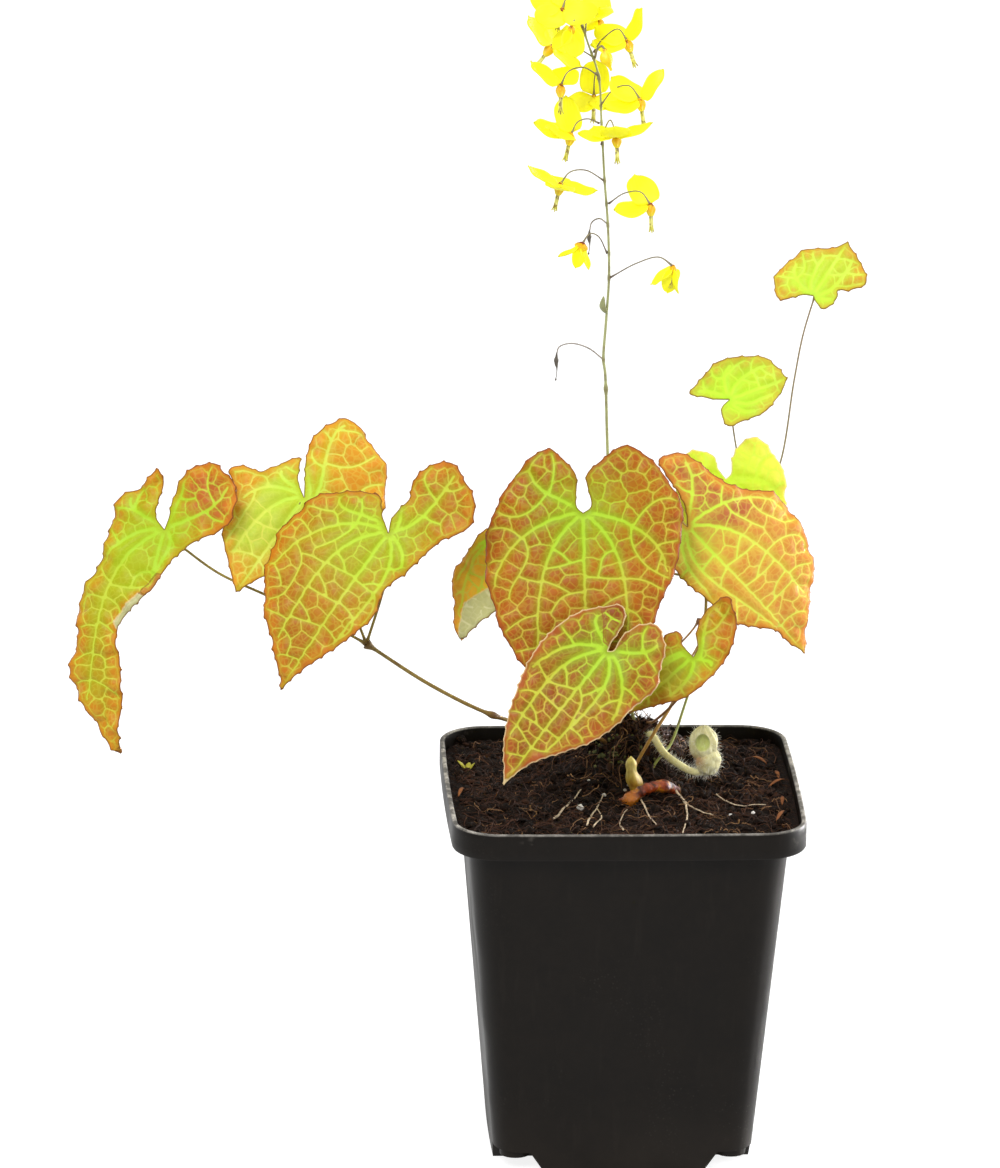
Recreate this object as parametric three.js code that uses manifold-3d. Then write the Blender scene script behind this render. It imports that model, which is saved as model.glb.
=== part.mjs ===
// A barrenwort in flower, in a square black nursery pot. Millimetres, +Z up.
// The origin is the middle of the pot's underside and the front faces -Y.

import * as THREE from 'three';
import { mergeVertices } from 'three/addons/utils/BufferGeometryUtils.js';
import Module from 'manifold-3d';

const wasm = await Module();
wasm.setup();

// Driving dimensions of the pot

const POT_HEIGHT = 95;
const RIM_HALF = 45;
const RIM_BAND = 7;
const RIM_CORNER = 12;
const RIM_WALL = 1.3;
const BODY_TOP_HALF = 40.7;
const BODY_FOOT_HALF = 32.7;
const BODY_TOP_CORNER = 10;
const BODY_FOOT_CORNER = 8;
const POT_WALL = 1.1;
const SIDE_BOW = 0.4;
const CORNER_RISE = 5.4;
const FOOT_HALF = 20.3;
const FOOT_SLANT = 0.6;
const DRAIN_RADIUS = 2.5;
const DRAIN_PLACE = 27.6;
const COLLAR_RADIUS = 3.9;
const COLLAR_DROP = 1.9;

// Driving dimensions of the soil

const SEAT_GAP = 0.3;
const SOIL_LEVEL = 91.5;
const SOIL_CRUMB = 0.7;
const SOIL_SECTORS = 40;
const SOIL_RINGS = 8;
const MOUND_AT = [4, 18];
const MOUND_RISE = 12;
const MOUND_SPREAD = 11;
const HOLE_POINTS = 4;

// Driving dimensions of the plant

const BLADE = 0.7;
const TOOTH = 0.7;
const BLADE_SECTORS = 28;
const STALK_SIDES = 6;
const STALKLET_RADIUS = 0.5;
const PEDICEL_RADIUS = 0.36;
const SEPAL_LENGTH = 9.4;
const SEPAL_WIDTH = 7.8;
const SEPAL_THICK = 0.6;
const PLANT_TURN = -0.8;
const PLANT_SHIFT = -0.5;
const NOTCH_CLEAR = 7;
const RING_SHARES = [0.36, 0.72];
const SEAT_PLACE = 1.2;
const SEAT_REACH = 1.3;
const HUB_TOP = 0.6;
const SEPAL_ROOT = 0.35;
const SEPAL_CUP = 0.72;
const SHOOT_RADIUS = 1;
const CROWN_HOLE = 1.3;

const YOUNG_LEAFLETS = ['leaflet_9', 'leaflet_10', 'leaflet_11'];

const vec = (p) => new THREE.Vector3(p[0], p[1], p[2]);
const radians = THREE.MathUtils.degToRad;

// Solids and booleans

function closedGeometry(positions, indices) {
  const geometry = new THREE.BufferGeometry();
  geometry.setAttribute('position', new THREE.Float32BufferAttribute(positions, 3));
  geometry.setIndex(indices);
  return geometry;
}

function toManifold(source) {
  const bare = source.clone();
  bare.deleteAttribute('normal');
  bare.deleteAttribute('uv');
  const merged = mergeVertices(bare, 1e-4);
  const mesh = new wasm.Mesh({
    numProp: 3,
    vertProperties: new Float32Array(merged.attributes.position.array),
    triVerts: new Uint32Array(merged.index.array),
  });
  return new wasm.Manifold(mesh);
}

function toGeometry(solid) {
  const mesh = solid.getMesh();
  return closedGeometry(Array.from(mesh.vertProperties), Array.from(mesh.triVerts));
}

function fuse(geometries) {
  const solids = geometries.map(toManifold);
  return toGeometry(solids.reduce((whole, solid) => whole.add(solid)));
}

function carve(geometry, tools) {
  const solid = tools.reduce((rest, tool) => rest.subtract(toManifold(tool)), toManifold(geometry));
  return toGeometry(solid);
}

// A skin over rings of equal length, closed by a fan at each end. The rings run
// counter-clockwise as seen from the end that the skin grows towards.
function loft(rings) {
  const count = rings[0].length;
  const positions = rings.flat().flatMap((p) => [p.x, p.y, p.z]);
  const indices = [];
  for (let k = 0; k + 1 < rings.length; k += 1) {
    for (let i = 0; i < count; i += 1) {
      const j = (i + 1) % count;
      const a = k * count + i;
      const b = k * count + j;
      indices.push(a, b, b + count, a, b + count, a + count);
    }
  }
  [0, rings.length - 1].forEach((k) => {
    const centre = positions.length / 3;
    const sum = rings[k].reduce((total, p) => total.add(p), new THREE.Vector3());
    sum.divideScalar(count);
    positions.push(sum.x, sum.y, sum.z);
    for (let i = 0; i < count; i += 1) {
      const a = k * count + i;
      const b = k * count + ((i + 1) % count);
      indices.push(centre, k === 0 ? b : a, k === 0 ? a : b);
    }
  });
  return closedGeometry(positions, indices);
}

// A round stem along a smooth curve, thinning from the first radius to the last.
function stem(points, radiusStart, radiusEnd, steps, sides = STALK_SIDES) {
  const curve = new THREE.CatmullRomCurve3(points.map(vec), false, 'centripetal');
  const frames = curve.computeFrenetFrames(steps, false);
  const rings = [];
  for (let k = 0; k <= steps; k += 1) {
    const centre = curve.getPointAt(k / steps);
    const radius = THREE.MathUtils.lerp(radiusStart, radiusEnd, k / steps);
    const ring = [];
    for (let i = 0; i < sides; i += 1) {
      const angle = (2 * Math.PI * i) / sides;
      const across = frames.normals[k].clone().multiplyScalar(radius * Math.cos(angle));
      const beside = frames.binormals[k].clone().multiplyScalar(radius * Math.sin(angle));
      ring.push(centre.clone().add(across).add(beside));
    }
    rings.push(ring);
  }
  return loft(rings);
}

function bump(at, radius, stretch = [1, 1, 1]) {
  const geometry = new THREE.IcosahedronGeometry(radius, 1);
  geometry.scale(...stretch);
  geometry.translate(...at);
  return geometry;
}

// Places on the plant are given before it is turned and shifted in its pot.
function settle(geometry) {
  geometry.rotateZ(radians(PLANT_TURN));
  geometry.translate(PLANT_SHIFT, 0, 0);
  return geometry;
}

// Pot

const bodyShare = (z) => z / (POT_HEIGHT - RIM_BAND);
const bodyHalf = (z) => THREE.MathUtils.lerp(BODY_FOOT_HALF, BODY_TOP_HALF, bodyShare(z));
const bodyCorner = (z) => THREE.MathUtils.lerp(BODY_FOOT_CORNER, BODY_TOP_CORNER, bodyShare(z));

// A square ring with round corners and sides that bow out a little.
function squareRing(half, corner, z, cornerSteps = 6, sideSteps = 4) {
  const ring = [];
  const reach = half - corner;
  for (let side = 0; side < 4; side += 1) {
    const turn = (side * Math.PI) / 2;
    const local = [];
    for (let i = 0; i < cornerSteps; i += 1) {
      const angle = -Math.PI / 2 + ((i / cornerSteps) * Math.PI) / 2;
      local.push([reach + corner * Math.cos(angle), -reach + corner * Math.sin(angle)]);
    }
    for (let i = 0; i < sideSteps; i += 1) {
      const along = -1 + (2 * i) / sideSteps;
      local.push([half + SIDE_BOW * (1 - along * along), along * reach]);
    }
    local.forEach(([x, y]) => {
      const px = x * Math.cos(turn) - y * Math.sin(turn);
      const py = x * Math.sin(turn) + y * Math.cos(turn);
      ring.push(new THREE.Vector3(px, py, z));
    });
  }
  return ring;
}

// The four blocks under the raised corners, grown by an amount on every side.
function cornerBlocks(grow) {
  const top = CORNER_RISE + grow;
  const low = -5;
  const inner = (z) => FOOT_HALF + FOOT_SLANT * z - grow;
  const far = RIM_HALF * 1.5;
  return [0, 1, 2, 3].map((quarter) => {
    const ringAt = (z, a) => [[a, a], [far, a], [far, far], [a, far]]
      .map(([x, y]) => new THREE.Vector3(x, y, z));
    const block = loft([ringAt(low, inner(low)), ringAt(top, inner(top))]);
    block.rotateZ((quarter * Math.PI) / 2);
    return block;
  });
}

// The space inside the pot, narrower by a gap all round, up to a height.
function potInside(gap, top) {
  const step = POT_HEIGHT - RIM_BAND;
  const inset = POT_WALL + gap;
  const ringAt = (z) => squareRing(bodyHalf(z) - inset, bodyCorner(z) - inset, z);
  const floor = POT_WALL + gap;
  const rimInset = RIM_WALL + gap;
  const shelf = step + gap * 1.3;
  const rings = [ringAt(floor), ringAt(CORNER_RISE * 4), ringAt(shelf)];
  const rimRing = (z) => squareRing(RIM_HALF - rimInset, RIM_CORNER - rimInset, z);
  rings.push(rimRing(shelf + POT_WALL), rimRing(top));
  return carve(loft(rings), cornerBlocks(inset));
}

function makePot() {
  const step = POT_HEIGHT - RIM_BAND;
  const bodyRings = [0, CORNER_RISE * 4, step].map((z) => squareRing(bodyHalf(z), bodyCorner(z), z));
  const lip = 0.5;
  const bandRings = [
    squareRing(RIM_HALF - lip, RIM_CORNER - lip, step),
    squareRing(RIM_HALF, RIM_CORNER, step + lip),
    squareRing(RIM_HALF, RIM_CORNER, POT_HEIGHT - lip),
    squareRing(RIM_HALF - lip, RIM_CORNER - lip, POT_HEIGHT),
  ];
  const body = carve(loft([...bodyRings, ...bandRings]), cornerBlocks(0));
  const places = [[1, 1], [-1, 1], [-1, -1], [1, -1]].map(([x, y]) => [x * DRAIN_PLACE, y * DRAIN_PLACE]);
  const post = (radius, low, high) => places.map(([x, y]) => {
    const cylinder = new THREE.CylinderGeometry(radius, radius, high - low, 12);
    cylinder.rotateX(Math.PI / 2);
    cylinder.translate(x, y, (low + high) / 2);
    return cylinder;
  });
  const collars = post(COLLAR_RADIUS, CORNER_RISE - COLLAR_DROP, CORNER_RISE + POT_WALL / 2);
  const drains = post(DRAIN_RADIUS, CORNER_RISE - COLLAR_DROP - 1, CORNER_RISE + POT_WALL + 1);
  return carve(fuse([body, ...collars]), [potInside(0, POT_HEIGHT + 1), ...drains]);
}

// Soil

// A steady pseudo-random value from -1 to 1 for a pair of whole numbers.
function crumb(i, j) {
  const value = Math.sin(i * 127.1 + j * 311.7) * 43758.5453;
  return 2 * (value - Math.floor(value)) - 1;
}

function soilHeight(x, y) {
  const dx = x - MOUND_AT[0];
  const dy = y - MOUND_AT[1];
  return SOIL_LEVEL + MOUND_RISE * Math.exp(-(dx * dx + dy * dy) / (2 * MOUND_SPREAD ** 2));
}

// The soil's upper part: a crumbled surface over the square, closed below.
function soilBlock() {
  const half = RIM_HALF - RIM_WALL - SEAT_GAP;
  const corner = RIM_CORNER - RIM_WALL - SEAT_GAP;
  const positions = [];
  const indices = [];
  const outline = (share) => squareRing(half * share, corner * share, 0);
  for (let k = 1; k <= SOIL_RINGS; k += 1) {
    outline(k / SOIL_RINGS).forEach((p, i) => {
      const edge = k === SOIL_RINGS ? 0.3 : 1;
      positions.push(p.x, p.y, soilHeight(p.x, p.y) + edge * SOIL_CRUMB * crumb(i, k));
    });
  }
  const peak = positions.length / 3;
  positions.push(0, 0, soilHeight(0, 0));
  const count = SOIL_SECTORS;
  for (let i = 0; i < count; i += 1) {
    const j = (i + 1) % count;
    indices.push(peak, i, j);
    for (let k = 0; k + 1 < SOIL_RINGS; k += 1) {
      const a = k * count + i;
      const b = k * count + j;
      indices.push(a, a + count, b + count, a, b + count, b);
    }
  }
  const rim = (SOIL_RINGS - 1) * count;
  const base = positions.length / 3;
  outline(1).forEach((p) => positions.push(p.x, p.y, -1));
  const bottom = positions.length / 3;
  positions.push(0, 0, -1);
  for (let i = 0; i < count; i += 1) {
    const j = (i + 1) % count;
    indices.push(rim + i, base + i, base + j, rim + i, base + j, rim + j);
    indices.push(bottom, base + j, base + i);
  }
  return closedGeometry(positions, indices);
}

// A plain hole for a stem, a little wider than the stem and a little deeper.
function stemHole(points, radius) {
  const [end, next] = [vec(points[0]), vec(points[1])];
  const below = end.clone().addScaledVector(next.clone().sub(end).normalize(), -SEAT_GAP);
  const wide = radius + SEAT_GAP * 1.8;
  return stem([below.toArray(), ...points.slice(0, HOLE_POINTS)], wide, wide, HOLE_POINTS + 2);
}

function makeSoil(holes, buried) {
  const fill = potInside(SEAT_GAP, POT_HEIGHT + MOUND_RISE + 2);
  const solid = toManifold(soilBlock()).intersect(toManifold(fill));
  return carve(toGeometry(solid), [...holes, ...buried]);
}

// Leaves

// A leaflet lies in a plane through its notch, where the stalk joins, and its tip. A point
// of the blade is [along, across]: along runs from the notch towards the tip, across runs to
// the right of someone who looks at the upper face with the tip pointing down. Each side of
// the outline runs from the notch round the lobe to the tip. A bend turns what lies beyond a
// line through a point, in the direction it faces in degrees, with a radius and up to a most
// angle; lift 1 turns it to the upper face and -1 away from it. The hearts are the places
// inside the blade that its facets spread from, in the order in which the outline passes them.
const LEAFLETS = {
  leaflet_1: {
    notch: [-117, -12, 165.5], tip: [-132.5, -31, 110], face: [-0.25, -0.9, 0.36],
    hearts: [[0, -10], [28, -13], [2, 2]],
    left: [[-2.5, -2.8], [-6, -3.2], [-10.5, -3.2], [-14.5, -5.5], [-9, -9], [-5.5, -13.5], [2, -14.5],
      [8, -14], [14.5, -15.5], [25, -18.5], [29.5, -16.5], [42.5, -16.5], [51.5, -9], [55, -6.5]],
    right: [[-3, 0.3], [-9, 0], [-12.5, 0.5], [-17, 3.5], [-19.5, 9], [-17.5, 13.5], [-13, 16.5], [-7, 17],
      [-4, 15], [-1, 11.8], [1.5, 8.3], [5.5, 5], [10, 3], [15, 1], [20, -2], [25, -5], [29, -5.5],
      [34, -4], [43, -1.5], [52, -1]],
    bends: [
      { at: [0, -6], toward: -90, radius: 26, most: 60, lift: -1 },
      { at: [8, 0], toward: 0, radius: 90, most: 40, lift: -1 },
      { at: [-2, 4], toward: 140, radius: 60, most: 30, lift: 1 },
    ],
  },
  leaflet_2: {
    notch: [-81.5, -5, 172], tip: [-99, -16.5, 150], face: [0.05, -0.9, 0.42], hearts: [[8, -2.5], [4, 5.5]],
    left: [[-2.5, -3.5], [-8, -7], [-4, -9.5], [0, -13], [2, -19], [4.5, -20.5], [9, -15],
      [16.5, -13], [20, -11.5], [25, -6]],
    right: [[-3, -2], [-8, -5.2], [-13, -7], [-18, -6], [-23, -3.5], [-23.5, 1], [-19, 13], [-14.5, 16],
      [-9, 18.5], [-1.5, 19.5], [5.5, 16.5], [12.5, 10.5], [18.5, 7], [23.5, 3]],
    bends: [
      { at: [0, -6], toward: -100, radius: 8, most: 28, lift: -1 },
      { at: [-4, 4], toward: 150, radius: 40, most: 30, lift: -1 },
    ],
  },
  leaflet_3: {
    notch: [-60.5, -19.2, 166.9], tip: [-89.5, -33.2, 129.4], face: [-0.12, -0.9, 0.42],
    hearts: [[2, 1], [-8, 6]],
    left: [[-2.5, -3.5], [-6.5, -7.5], [-5.5, -10], [-3, -14.5], [2, -21], [8, -23.5], [14, -24.5],
      [20, -23.5], [28, -19.5], [35, -14], [41, -7.5], [45, -3.5]],
    right: [[-3.5, -1.5], [-10.5, -1], [-13.5, -2.5], [-20.5, -1], [-24, 4], [-21.5, 10], [-20, 14],
      [-15, 16.5], [-10.5, 15.5], [-5, 12], [5, 10], [12, 8], [20, 9.5], [29, 7], [35.5, 4.5], [41.5, 2]],
    bends: [
      { at: [0, -4], toward: -90, radius: 38, most: 40, lift: -1 },
      { at: [14, 0], toward: 0, radius: 70, most: 40, lift: -1 },
      { at: [-4, 4], toward: 140, radius: 40, most: 30, lift: 1 },
    ],
  },
  leaflet_4: {
    notch: [-32, 2, 158.5], tip: [-41, -1.5, 132.5], face: [-0.35, -0.9, 0.25], hearts: [[14, -2], [2, 0.5]],
    left: [[-2, -3], [0, -5], [5.5, -6.5], [11, -8.5], [16.5, -7], [22, -4.5], [25, -3]],
    right: [[-2.5, 3], [0, 6.5], [6.5, 8], [13, 7], [17, 6], [21, 3.5], [24.5, 1.5]],
    bends: [{ at: [0, -2], toward: -90, radius: 20, most: 40, lift: -1 }],
  },
  leaflet_5: {
    notch: [-11, -12, 170], tip: [-10, -30.5, 122], face: [-0.05, -0.93, 0.36], hearts: [[16, -5.5], [12, 14.5]],
    left: [[-1.5, -1.5], [-9.5, -1.5], [-13, -4], [-14.5, -5.5], [-16.5, -8], [-14, -13.5], [-10, -17],
      [-3, -22], [4, -25], [14.5, -25.5], [22, -24], [32.5, -20], [39, -15.5], [46, -8]],
    right: [[-1.5, 2], [-9.5, 1], [-13, 4.5], [-17, 11], [-15, 15.5], [-7.5, 22.5], [0.5, 26], [8, 25],
      [15.5, 23.5], [20.5, 20.5], [27, 18], [36.5, 13.5], [45, 6.5]],
    bends: [
      { at: [0, -6], toward: -90, radius: 45, most: 40, lift: -1 },
      { at: [0, 6], toward: 90, radius: 45, most: 40, lift: -1 },
      { at: [22, 0], toward: 0, radius: 80, most: 30, lift: -1 },
    ],
  },
  leaflet_6: {
    notch: [-5, -28.5, 138.5], tip: [-32, -43, 108.5], face: [-0.1, -0.86, 0.5], hearts: [[12, -2.5], [8, 10]],
    left: [[-2, -2.5], [-5.5, -5.5], [-8, -8], [-5, -11], [0.5, -13.5], [6.5, -14.5], [12.5, -14.5],
      [22, -12], [30, -9], [37.5, -4.5]],
    right: [[-1, 1], [-5, 0.5], [-10, 2], [-13, 5.5], [-9.5, 11], [-4.5, 13.5], [-0.5, 15.5], [8.5, 14],
      [14, 13.5], [20.5, 11.5], [27, 7.5], [35.5, 2]],
    bends: [
      { at: [0, -2], toward: -90, radius: 45, most: 40, lift: 1 },
      { at: [0, 4], toward: 90, radius: 34, most: 40, lift: -1 },
      { at: [14, 0], toward: 0, radius: 80, most: 30, lift: -1 },
    ],
  },
  leaflet_7: {
    notch: [16.5, 4, 161.5], tip: [49, 1, 128], face: [0.22, -0.92, 0.3], hearts: [[8, -5.5], [10, 8.5]],
    left: [[-3, -0.5], [-4.5, -2.5], [-7.5, -5], [-2.5, -9], [4.5, -10], [11, -10.5], [19, -9.5],
      [24.5, -9.5], [30.5, -6], [36, -2], [40.5, -1.5]],
    right: [[-3, 2.5], [-8.5, 4.5], [-17.5, 6.5], [-16.5, 9.5], [-14, 12.5], [-8, 14], [0, 15.5], [5, 18.5],
      [9.5, 22.5], [13.5, 24], [20, 23.5], [27, 21], [34, 15.5], [39, 8]],
    bends: [
      { at: [0, 8], toward: 80, radius: 40, most: 40, lift: -1 },
      { at: [18, 0], toward: 0, radius: 70, most: 40, lift: -1 },
    ],
  },
  leaflet_8: {
    notch: [17.5, -14, 132.5], tip: [1, -23, 120.5], face: [0.12, -0.85, 0.5], hearts: [[5, 0.5], [1, 4.5]],
    left: [[0, -4], [-1.5, -6.5], [0.5, -8.5], [3, -8.5], [6, -6.5], [10.5, -5], [17, -3]],
    right: [[-2, -0.7], [-5, -4.3], [-10, -6.5], [-17.5, -5.5], [-15.5, -1], [-12.5, 2.5], [-7.5, 5.5],
      [0, 7], [9, 6.5], [15, 3.5]],
    bends: [
      { at: [-5, 0], toward: 180, radius: 16, most: 40, lift: 1 },
      { at: [4, 0], toward: 0, radius: 30, most: 40, lift: -1 },
    ],
  },
  leaflet_9: {
    notch: [27, 18, 170], tip: [32.5, 11, 146.5], face: [0.08, -0.94, 0.3], hearts: [[6, -4], [2, 10]],
    left: [[-3.5, -1.5], [-6, -1.5], [-7.5, -3], [-9, -7], [-7, -11], [-1.5, -13], [6.5, -13.5],
      [15, -10.5], [21, -6]],
    right: [[-1, 1.5], [-4.5, 2.5], [-7.5, 5], [-9, 9], [-6, 12.5], [2.5, 15.5], [9, 14.5], [16, 11.5],
      [21.5, 6]],
    bends: [
      { at: [0, 5], toward: 90, radius: 25, most: 40, lift: -1 },
      { at: [0, -5], toward: -90, radius: 25, most: 40, lift: -1 },
    ],
  },
  leaflet_10: {
    notch: [27.5, 20, 190.5], tip: [42.5, 24, 195], face: [0.05, -0.85, 0.52], hearts: [[6, -1], [4, 5.5]],
    left: [[-2.5, -1.2], [-3.5, -3.5], [-3, -6.5], [2, -6.5], [7, -6.5], [11, -4.5], [14.5, -2]],
    right: [[-4, 1.5], [-6.5, 3], [-9, 5], [-6, 7], [-0.5, 10], [4.5, 10], [10, 8.5], [13.5, 6.5]],
    bends: [{ at: [0, 2], toward: 90, radius: 18, most: 40, lift: 1 }],
  },
  leaflet_11: {
    notch: [48.5, 22, 217.5], tip: [57.5, 28, 230], face: [-0.1, -0.85, 0.5], hearts: [[7, 0], [0.5, 7]],
    left: [[-1, -1.5], [-1.5, -4.5], [3.5, -5.5], [4.5, -4.5], [6, -7], [9.5, -10], [12, -8.5], [14.5, -4.5]],
    right: [[-1, 2], [-4.5, 5.5], [-5, 8], [-1.5, 11], [1.5, 12], [6, 10.5], [10, 7.5], [13.5, 2.5]],
    bends: [{ at: [0, 3], toward: 90, radius: 14, most: 50, lift: -1 }],
  },
};

// The plane of a leaflet: its two directions, its face direction and its length.
function leafFrame(leaf) {
  const notch = vec(leaf.notch);
  const along = vec(leaf.tip).sub(notch);
  const length = along.length();
  along.normalize();
  const face = vec(leaf.face);
  face.addScaledVector(along, -face.dot(along)).normalize();
  const across = face.clone().cross(along);
  return { notch, along, across, face, length };
}

// The place of a point of the blade once every bend has turned it.
function leafPoint(leaf, frame, [u, v]) {
  let along = u;
  let across = v;
  let height = 0;
  leaf.bends.forEach((bend) => {
    const facing = radians(bend.toward);
    const [nu, nv] = [Math.cos(facing), Math.sin(facing)];
    const beyond = (u - bend.at[0]) * nu + (v - bend.at[1]) * nv;
    if (beyond <= 0) return;
    const angle = Math.min(beyond / bend.radius, radians(bend.most));
    const rest = beyond - angle * bend.radius;
    const run = bend.radius * Math.sin(angle) + rest * Math.cos(angle);
    const rise = bend.radius * (1 - Math.cos(angle)) + rest * Math.sin(angle);
    along += nu * (run - beyond);
    across += nv * (run - beyond);
    height += bend.lift * rise;
  });
  return frame.notch.clone()
    .addScaledVector(frame.along, along)
    .addScaledVector(frame.across, across)
    .addScaledVector(frame.face, height);
}

// The toothed outline, from the notch round the left side, the tip and the right side.
function leafOutline(leaf, length, count) {
  const flat = (points) => points.map(([u, v]) => new THREE.Vector3(u, v, 0));
  const left = flat([[0, 0], ...leaf.left, [length, 0]]);
  const right = flat([[length, 0], ...[...leaf.right].reverse(), [0, 0]]);
  const sides = [left, right].map((side) => new THREE.CatmullRomCurve3(side, false, 'centripetal'));
  const outline = [];
  sides.forEach((side) => {
    for (let i = 0; i < count / 2; i += 1) {
      const share = i / (count / 2);
      const p = side.getPointAt(share);
      const tangent = side.getTangentAt(share);
      const notched = i % 2 === 1 && p.length() > NOTCH_CLEAR ? TOOTH : 0;
      outline.push([p.x - tangent.y * notched, p.y + tangent.x * notched]);
    }
  });
  return outline;
}

// The flat facets of a blade: its points, its triangles and the number of the first point of
// the outline. Rings of points lie between each heart and the part of the outline nearest it.
function leafFacets(hearts, outline) {
  const sectors = outline.length / 2;
  const far = ([u, v], k) => Math.hypot(u - hearts[k][0], v - hearts[k][1]);
  const nearest = (point) => hearts
    .reduce((best, heart, k) => (far(point, k) < far(point, best) ? k : best), 0);
  const centre = outline.filter((point, i) => i % 2 === 0).map(nearest);
  const flat = [...hearts];
  RING_SHARES.forEach((share) => centre.forEach((k, i) => {
    const [u, v] = outline[i * 2];
    const [hu, hv] = hearts[k];
    flat.push([hu + (u - hu) * share, hv + (v - hv) * share]);
  }));
  const edge = flat.length;
  flat.push(...outline);
  const faces = [];
  const ring = (k, i) => hearts.length + k * sectors + i;
  const outer = RING_SHARES.length - 1;
  if (hearts.length > 2) faces.push([0, 1, 2]);
  centre.forEach((c, i) => {
    const j = (i + 1) % sectors;
    faces.push([c, ring(0, i), ring(0, j)]);
    if (centre[j] !== c) faces.push([c, ring(0, j), centre[j]]);
    for (let k = 0; k < outer; k += 1) {
      faces.push([ring(k, i), ring(k + 1, i), ring(k + 1, j)], [ring(k, i), ring(k + 1, j), ring(k, j)]);
    }
    const [a, b] = [ring(outer, i), ring(outer, j)];
    const [first, middle, last] = [edge + i * 2, edge + i * 2 + 1, edge + j * 2];
    faces.push([a, first, middle], [a, middle, b], [b, middle, last]);
  });
  return { flat, faces, edge };
}

// A leaflet: one thin blade, with the same triangles on both faces.
function makeLeaflet(leaf) {
  const frame = leafFrame(leaf);
  const outline = leafOutline(leaf, frame.length, BLADE_SECTORS * 2);
  const { flat, faces, edge } = leafFacets(leaf.hearts, outline);
  const middle = flat.map((point) => leafPoint(leaf, frame, point));
  const normals = middle.map(() => new THREE.Vector3());
  faces.forEach(([a, b, c]) => {
    const normal = middle[b].clone().sub(middle[a]).cross(middle[c].clone().sub(middle[a]));
    [a, b, c].forEach((i) => normals[i].add(normal));
  });
  normals.forEach((normal) => normal.normalize());
  const sign = normals[0].dot(frame.face) > 0 ? 1 : -1;
  const layer = (offset) => middle.map((p, i) => p.clone().addScaledVector(normals[i], offset));
  const top = layer((sign * BLADE) / 2);
  const under = layer((-sign * BLADE) / 2);
  const total = flat.length;
  const positions = [...top, ...under].flatMap((p) => [p.x, p.y, p.z]);
  const indices = [];
  faces.forEach(([a, b, c]) => {
    const [upper, lower] = [[a, b, c], [a + total, c + total, b + total]];
    indices.push(...(sign > 0 ? upper : upper.reverse()), ...(sign > 0 ? lower : lower.reverse()));
  });
  for (let i = 0; i < outline.length; i += 1) {
    const [a, b] = [edge + i, edge + ((i + 1) % outline.length)];
    const wall = [a, a + total, b + total, a, b + total, b];
    indices.push(...(sign > 0 ? wall : wall.reverse()));
  }
  return closedGeometry(positions, indices);
}

// The place on the back of a blade, beside the notch, where its stalk ends.
function leafSeat(leaf) {
  const frame = leafFrame(leaf);
  const place = leafPoint(leaf, frame, [SEAT_PLACE, 0]);
  const near = place.clone().addScaledVector(frame.face, -(BLADE / 2 + SEAT_GAP));
  const far = near.clone().addScaledVector(frame.face, -SEAT_REACH);
  return [far.toArray(), near.toArray()];
}

// Leaf stalks. Each compound leaf has one stalk from the soil to its fork, and a thin
// stalklet from the fork to each leaflet.
const LEAF_STALKS = {
  stalk_left: {
    stem: [[-0.5, 16, 92], [-2, 14.2, 98.5], [-4.2, 12, 101.8], [-15, 5, 106], [-33, -7, 114.5],
      [-49, -10, 123.5], [-65.5, -10, 134.5]],
    radius: [0.75, 0.6],
    knots: [{ at: [-33, -7, 114.5], radius: 1.1 }, { at: [-65.5, -10, 134.5], radius: 1.5 }],
    stalklets: {
      leaflet_1: [[-77.5, -9, 141], [-92, -7, 147], [-103, -6, 152], [-112, -7, 159]],
      leaflet_2: [[-69.5, -4, 143.5], [-76, 1, 157.5]],
      leaflet_3: [[-62, -9, 146], [-59.5, -11, 157.5]],
    },
  },
  stalk_centre: {
    stem: [[1.5, 1.5, 87.5], [3.5, 1.5, 96.5], [8.5, 4, 105.5], [13.5, 8, 112.5], [19.5, 10, 125], [22, 11, 137.5],
      [21.5, 12, 145]],
    radius: [0.9, 0.65],
    knots: [{ at: [21.5, 12, 145], radius: 1.3 }],
    stalklets: {
      leaflet_4: [[7.5, 9, 148.5], [-16, 8, 155]],
      leaflet_5: [[12.5, 7, 152], [-1, 0, 161]],
      leaflet_7: [[19.5, 12.5, 152]],
    },
  },
  stalk_front: {
    stem: [[7, 21.2, 94], [7.3, 20.2, 100], [7.7, 18.4, 103.8], [8.3, 12, 106.4], [9.1, 5, 109.2],
      [13, 2, 114], [18, 0, 121.8], [19.5, -3, 130.8], [19.5, -5, 139.5]],
    radius: [0.7, 0.55],
    knots: [{ at: [19.5, -5, 139.5], radius: 1 }],
    stalklets: {
      leaflet_6: [[17.5, -6.5, 137], [13, -10.3, 133.6], [8.5, -12.6, 131.9],
        [5, -17, 132], [2.5, -24, 133.9], [1, -27.3, 135.7]],
      leaflet_8: [[20.5, -6.5, 137]],
    },
  },
  stalk_young: {
    stem: [[7.2, 3.7, 86.5], [8.2, 4.1, 93], [9.2, 4.7, 97.4], [11.5, 6, 100], [13.5, 8, 102], [17.5, 13, 112], [21.5, 18, 123],
      [28.5, 23, 136], [34, 26, 151.5]],
    radius: [0.65, 0.5],
    knots: [{ at: [34, 26, 151.5], radius: 1 }],
    stalklets: {
      leaflet_9: [[31.5, 25.5, 160]],
      leaflet_10: [[31.5, 26, 167.5], [29, 25.5, 181.5]],
      leaflet_11: [[37.5, 26.5, 162], [41.5, 27, 172], [44.5, 27, 193.5], [46.5, 27, 205.5]],
    },
  },
};

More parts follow.
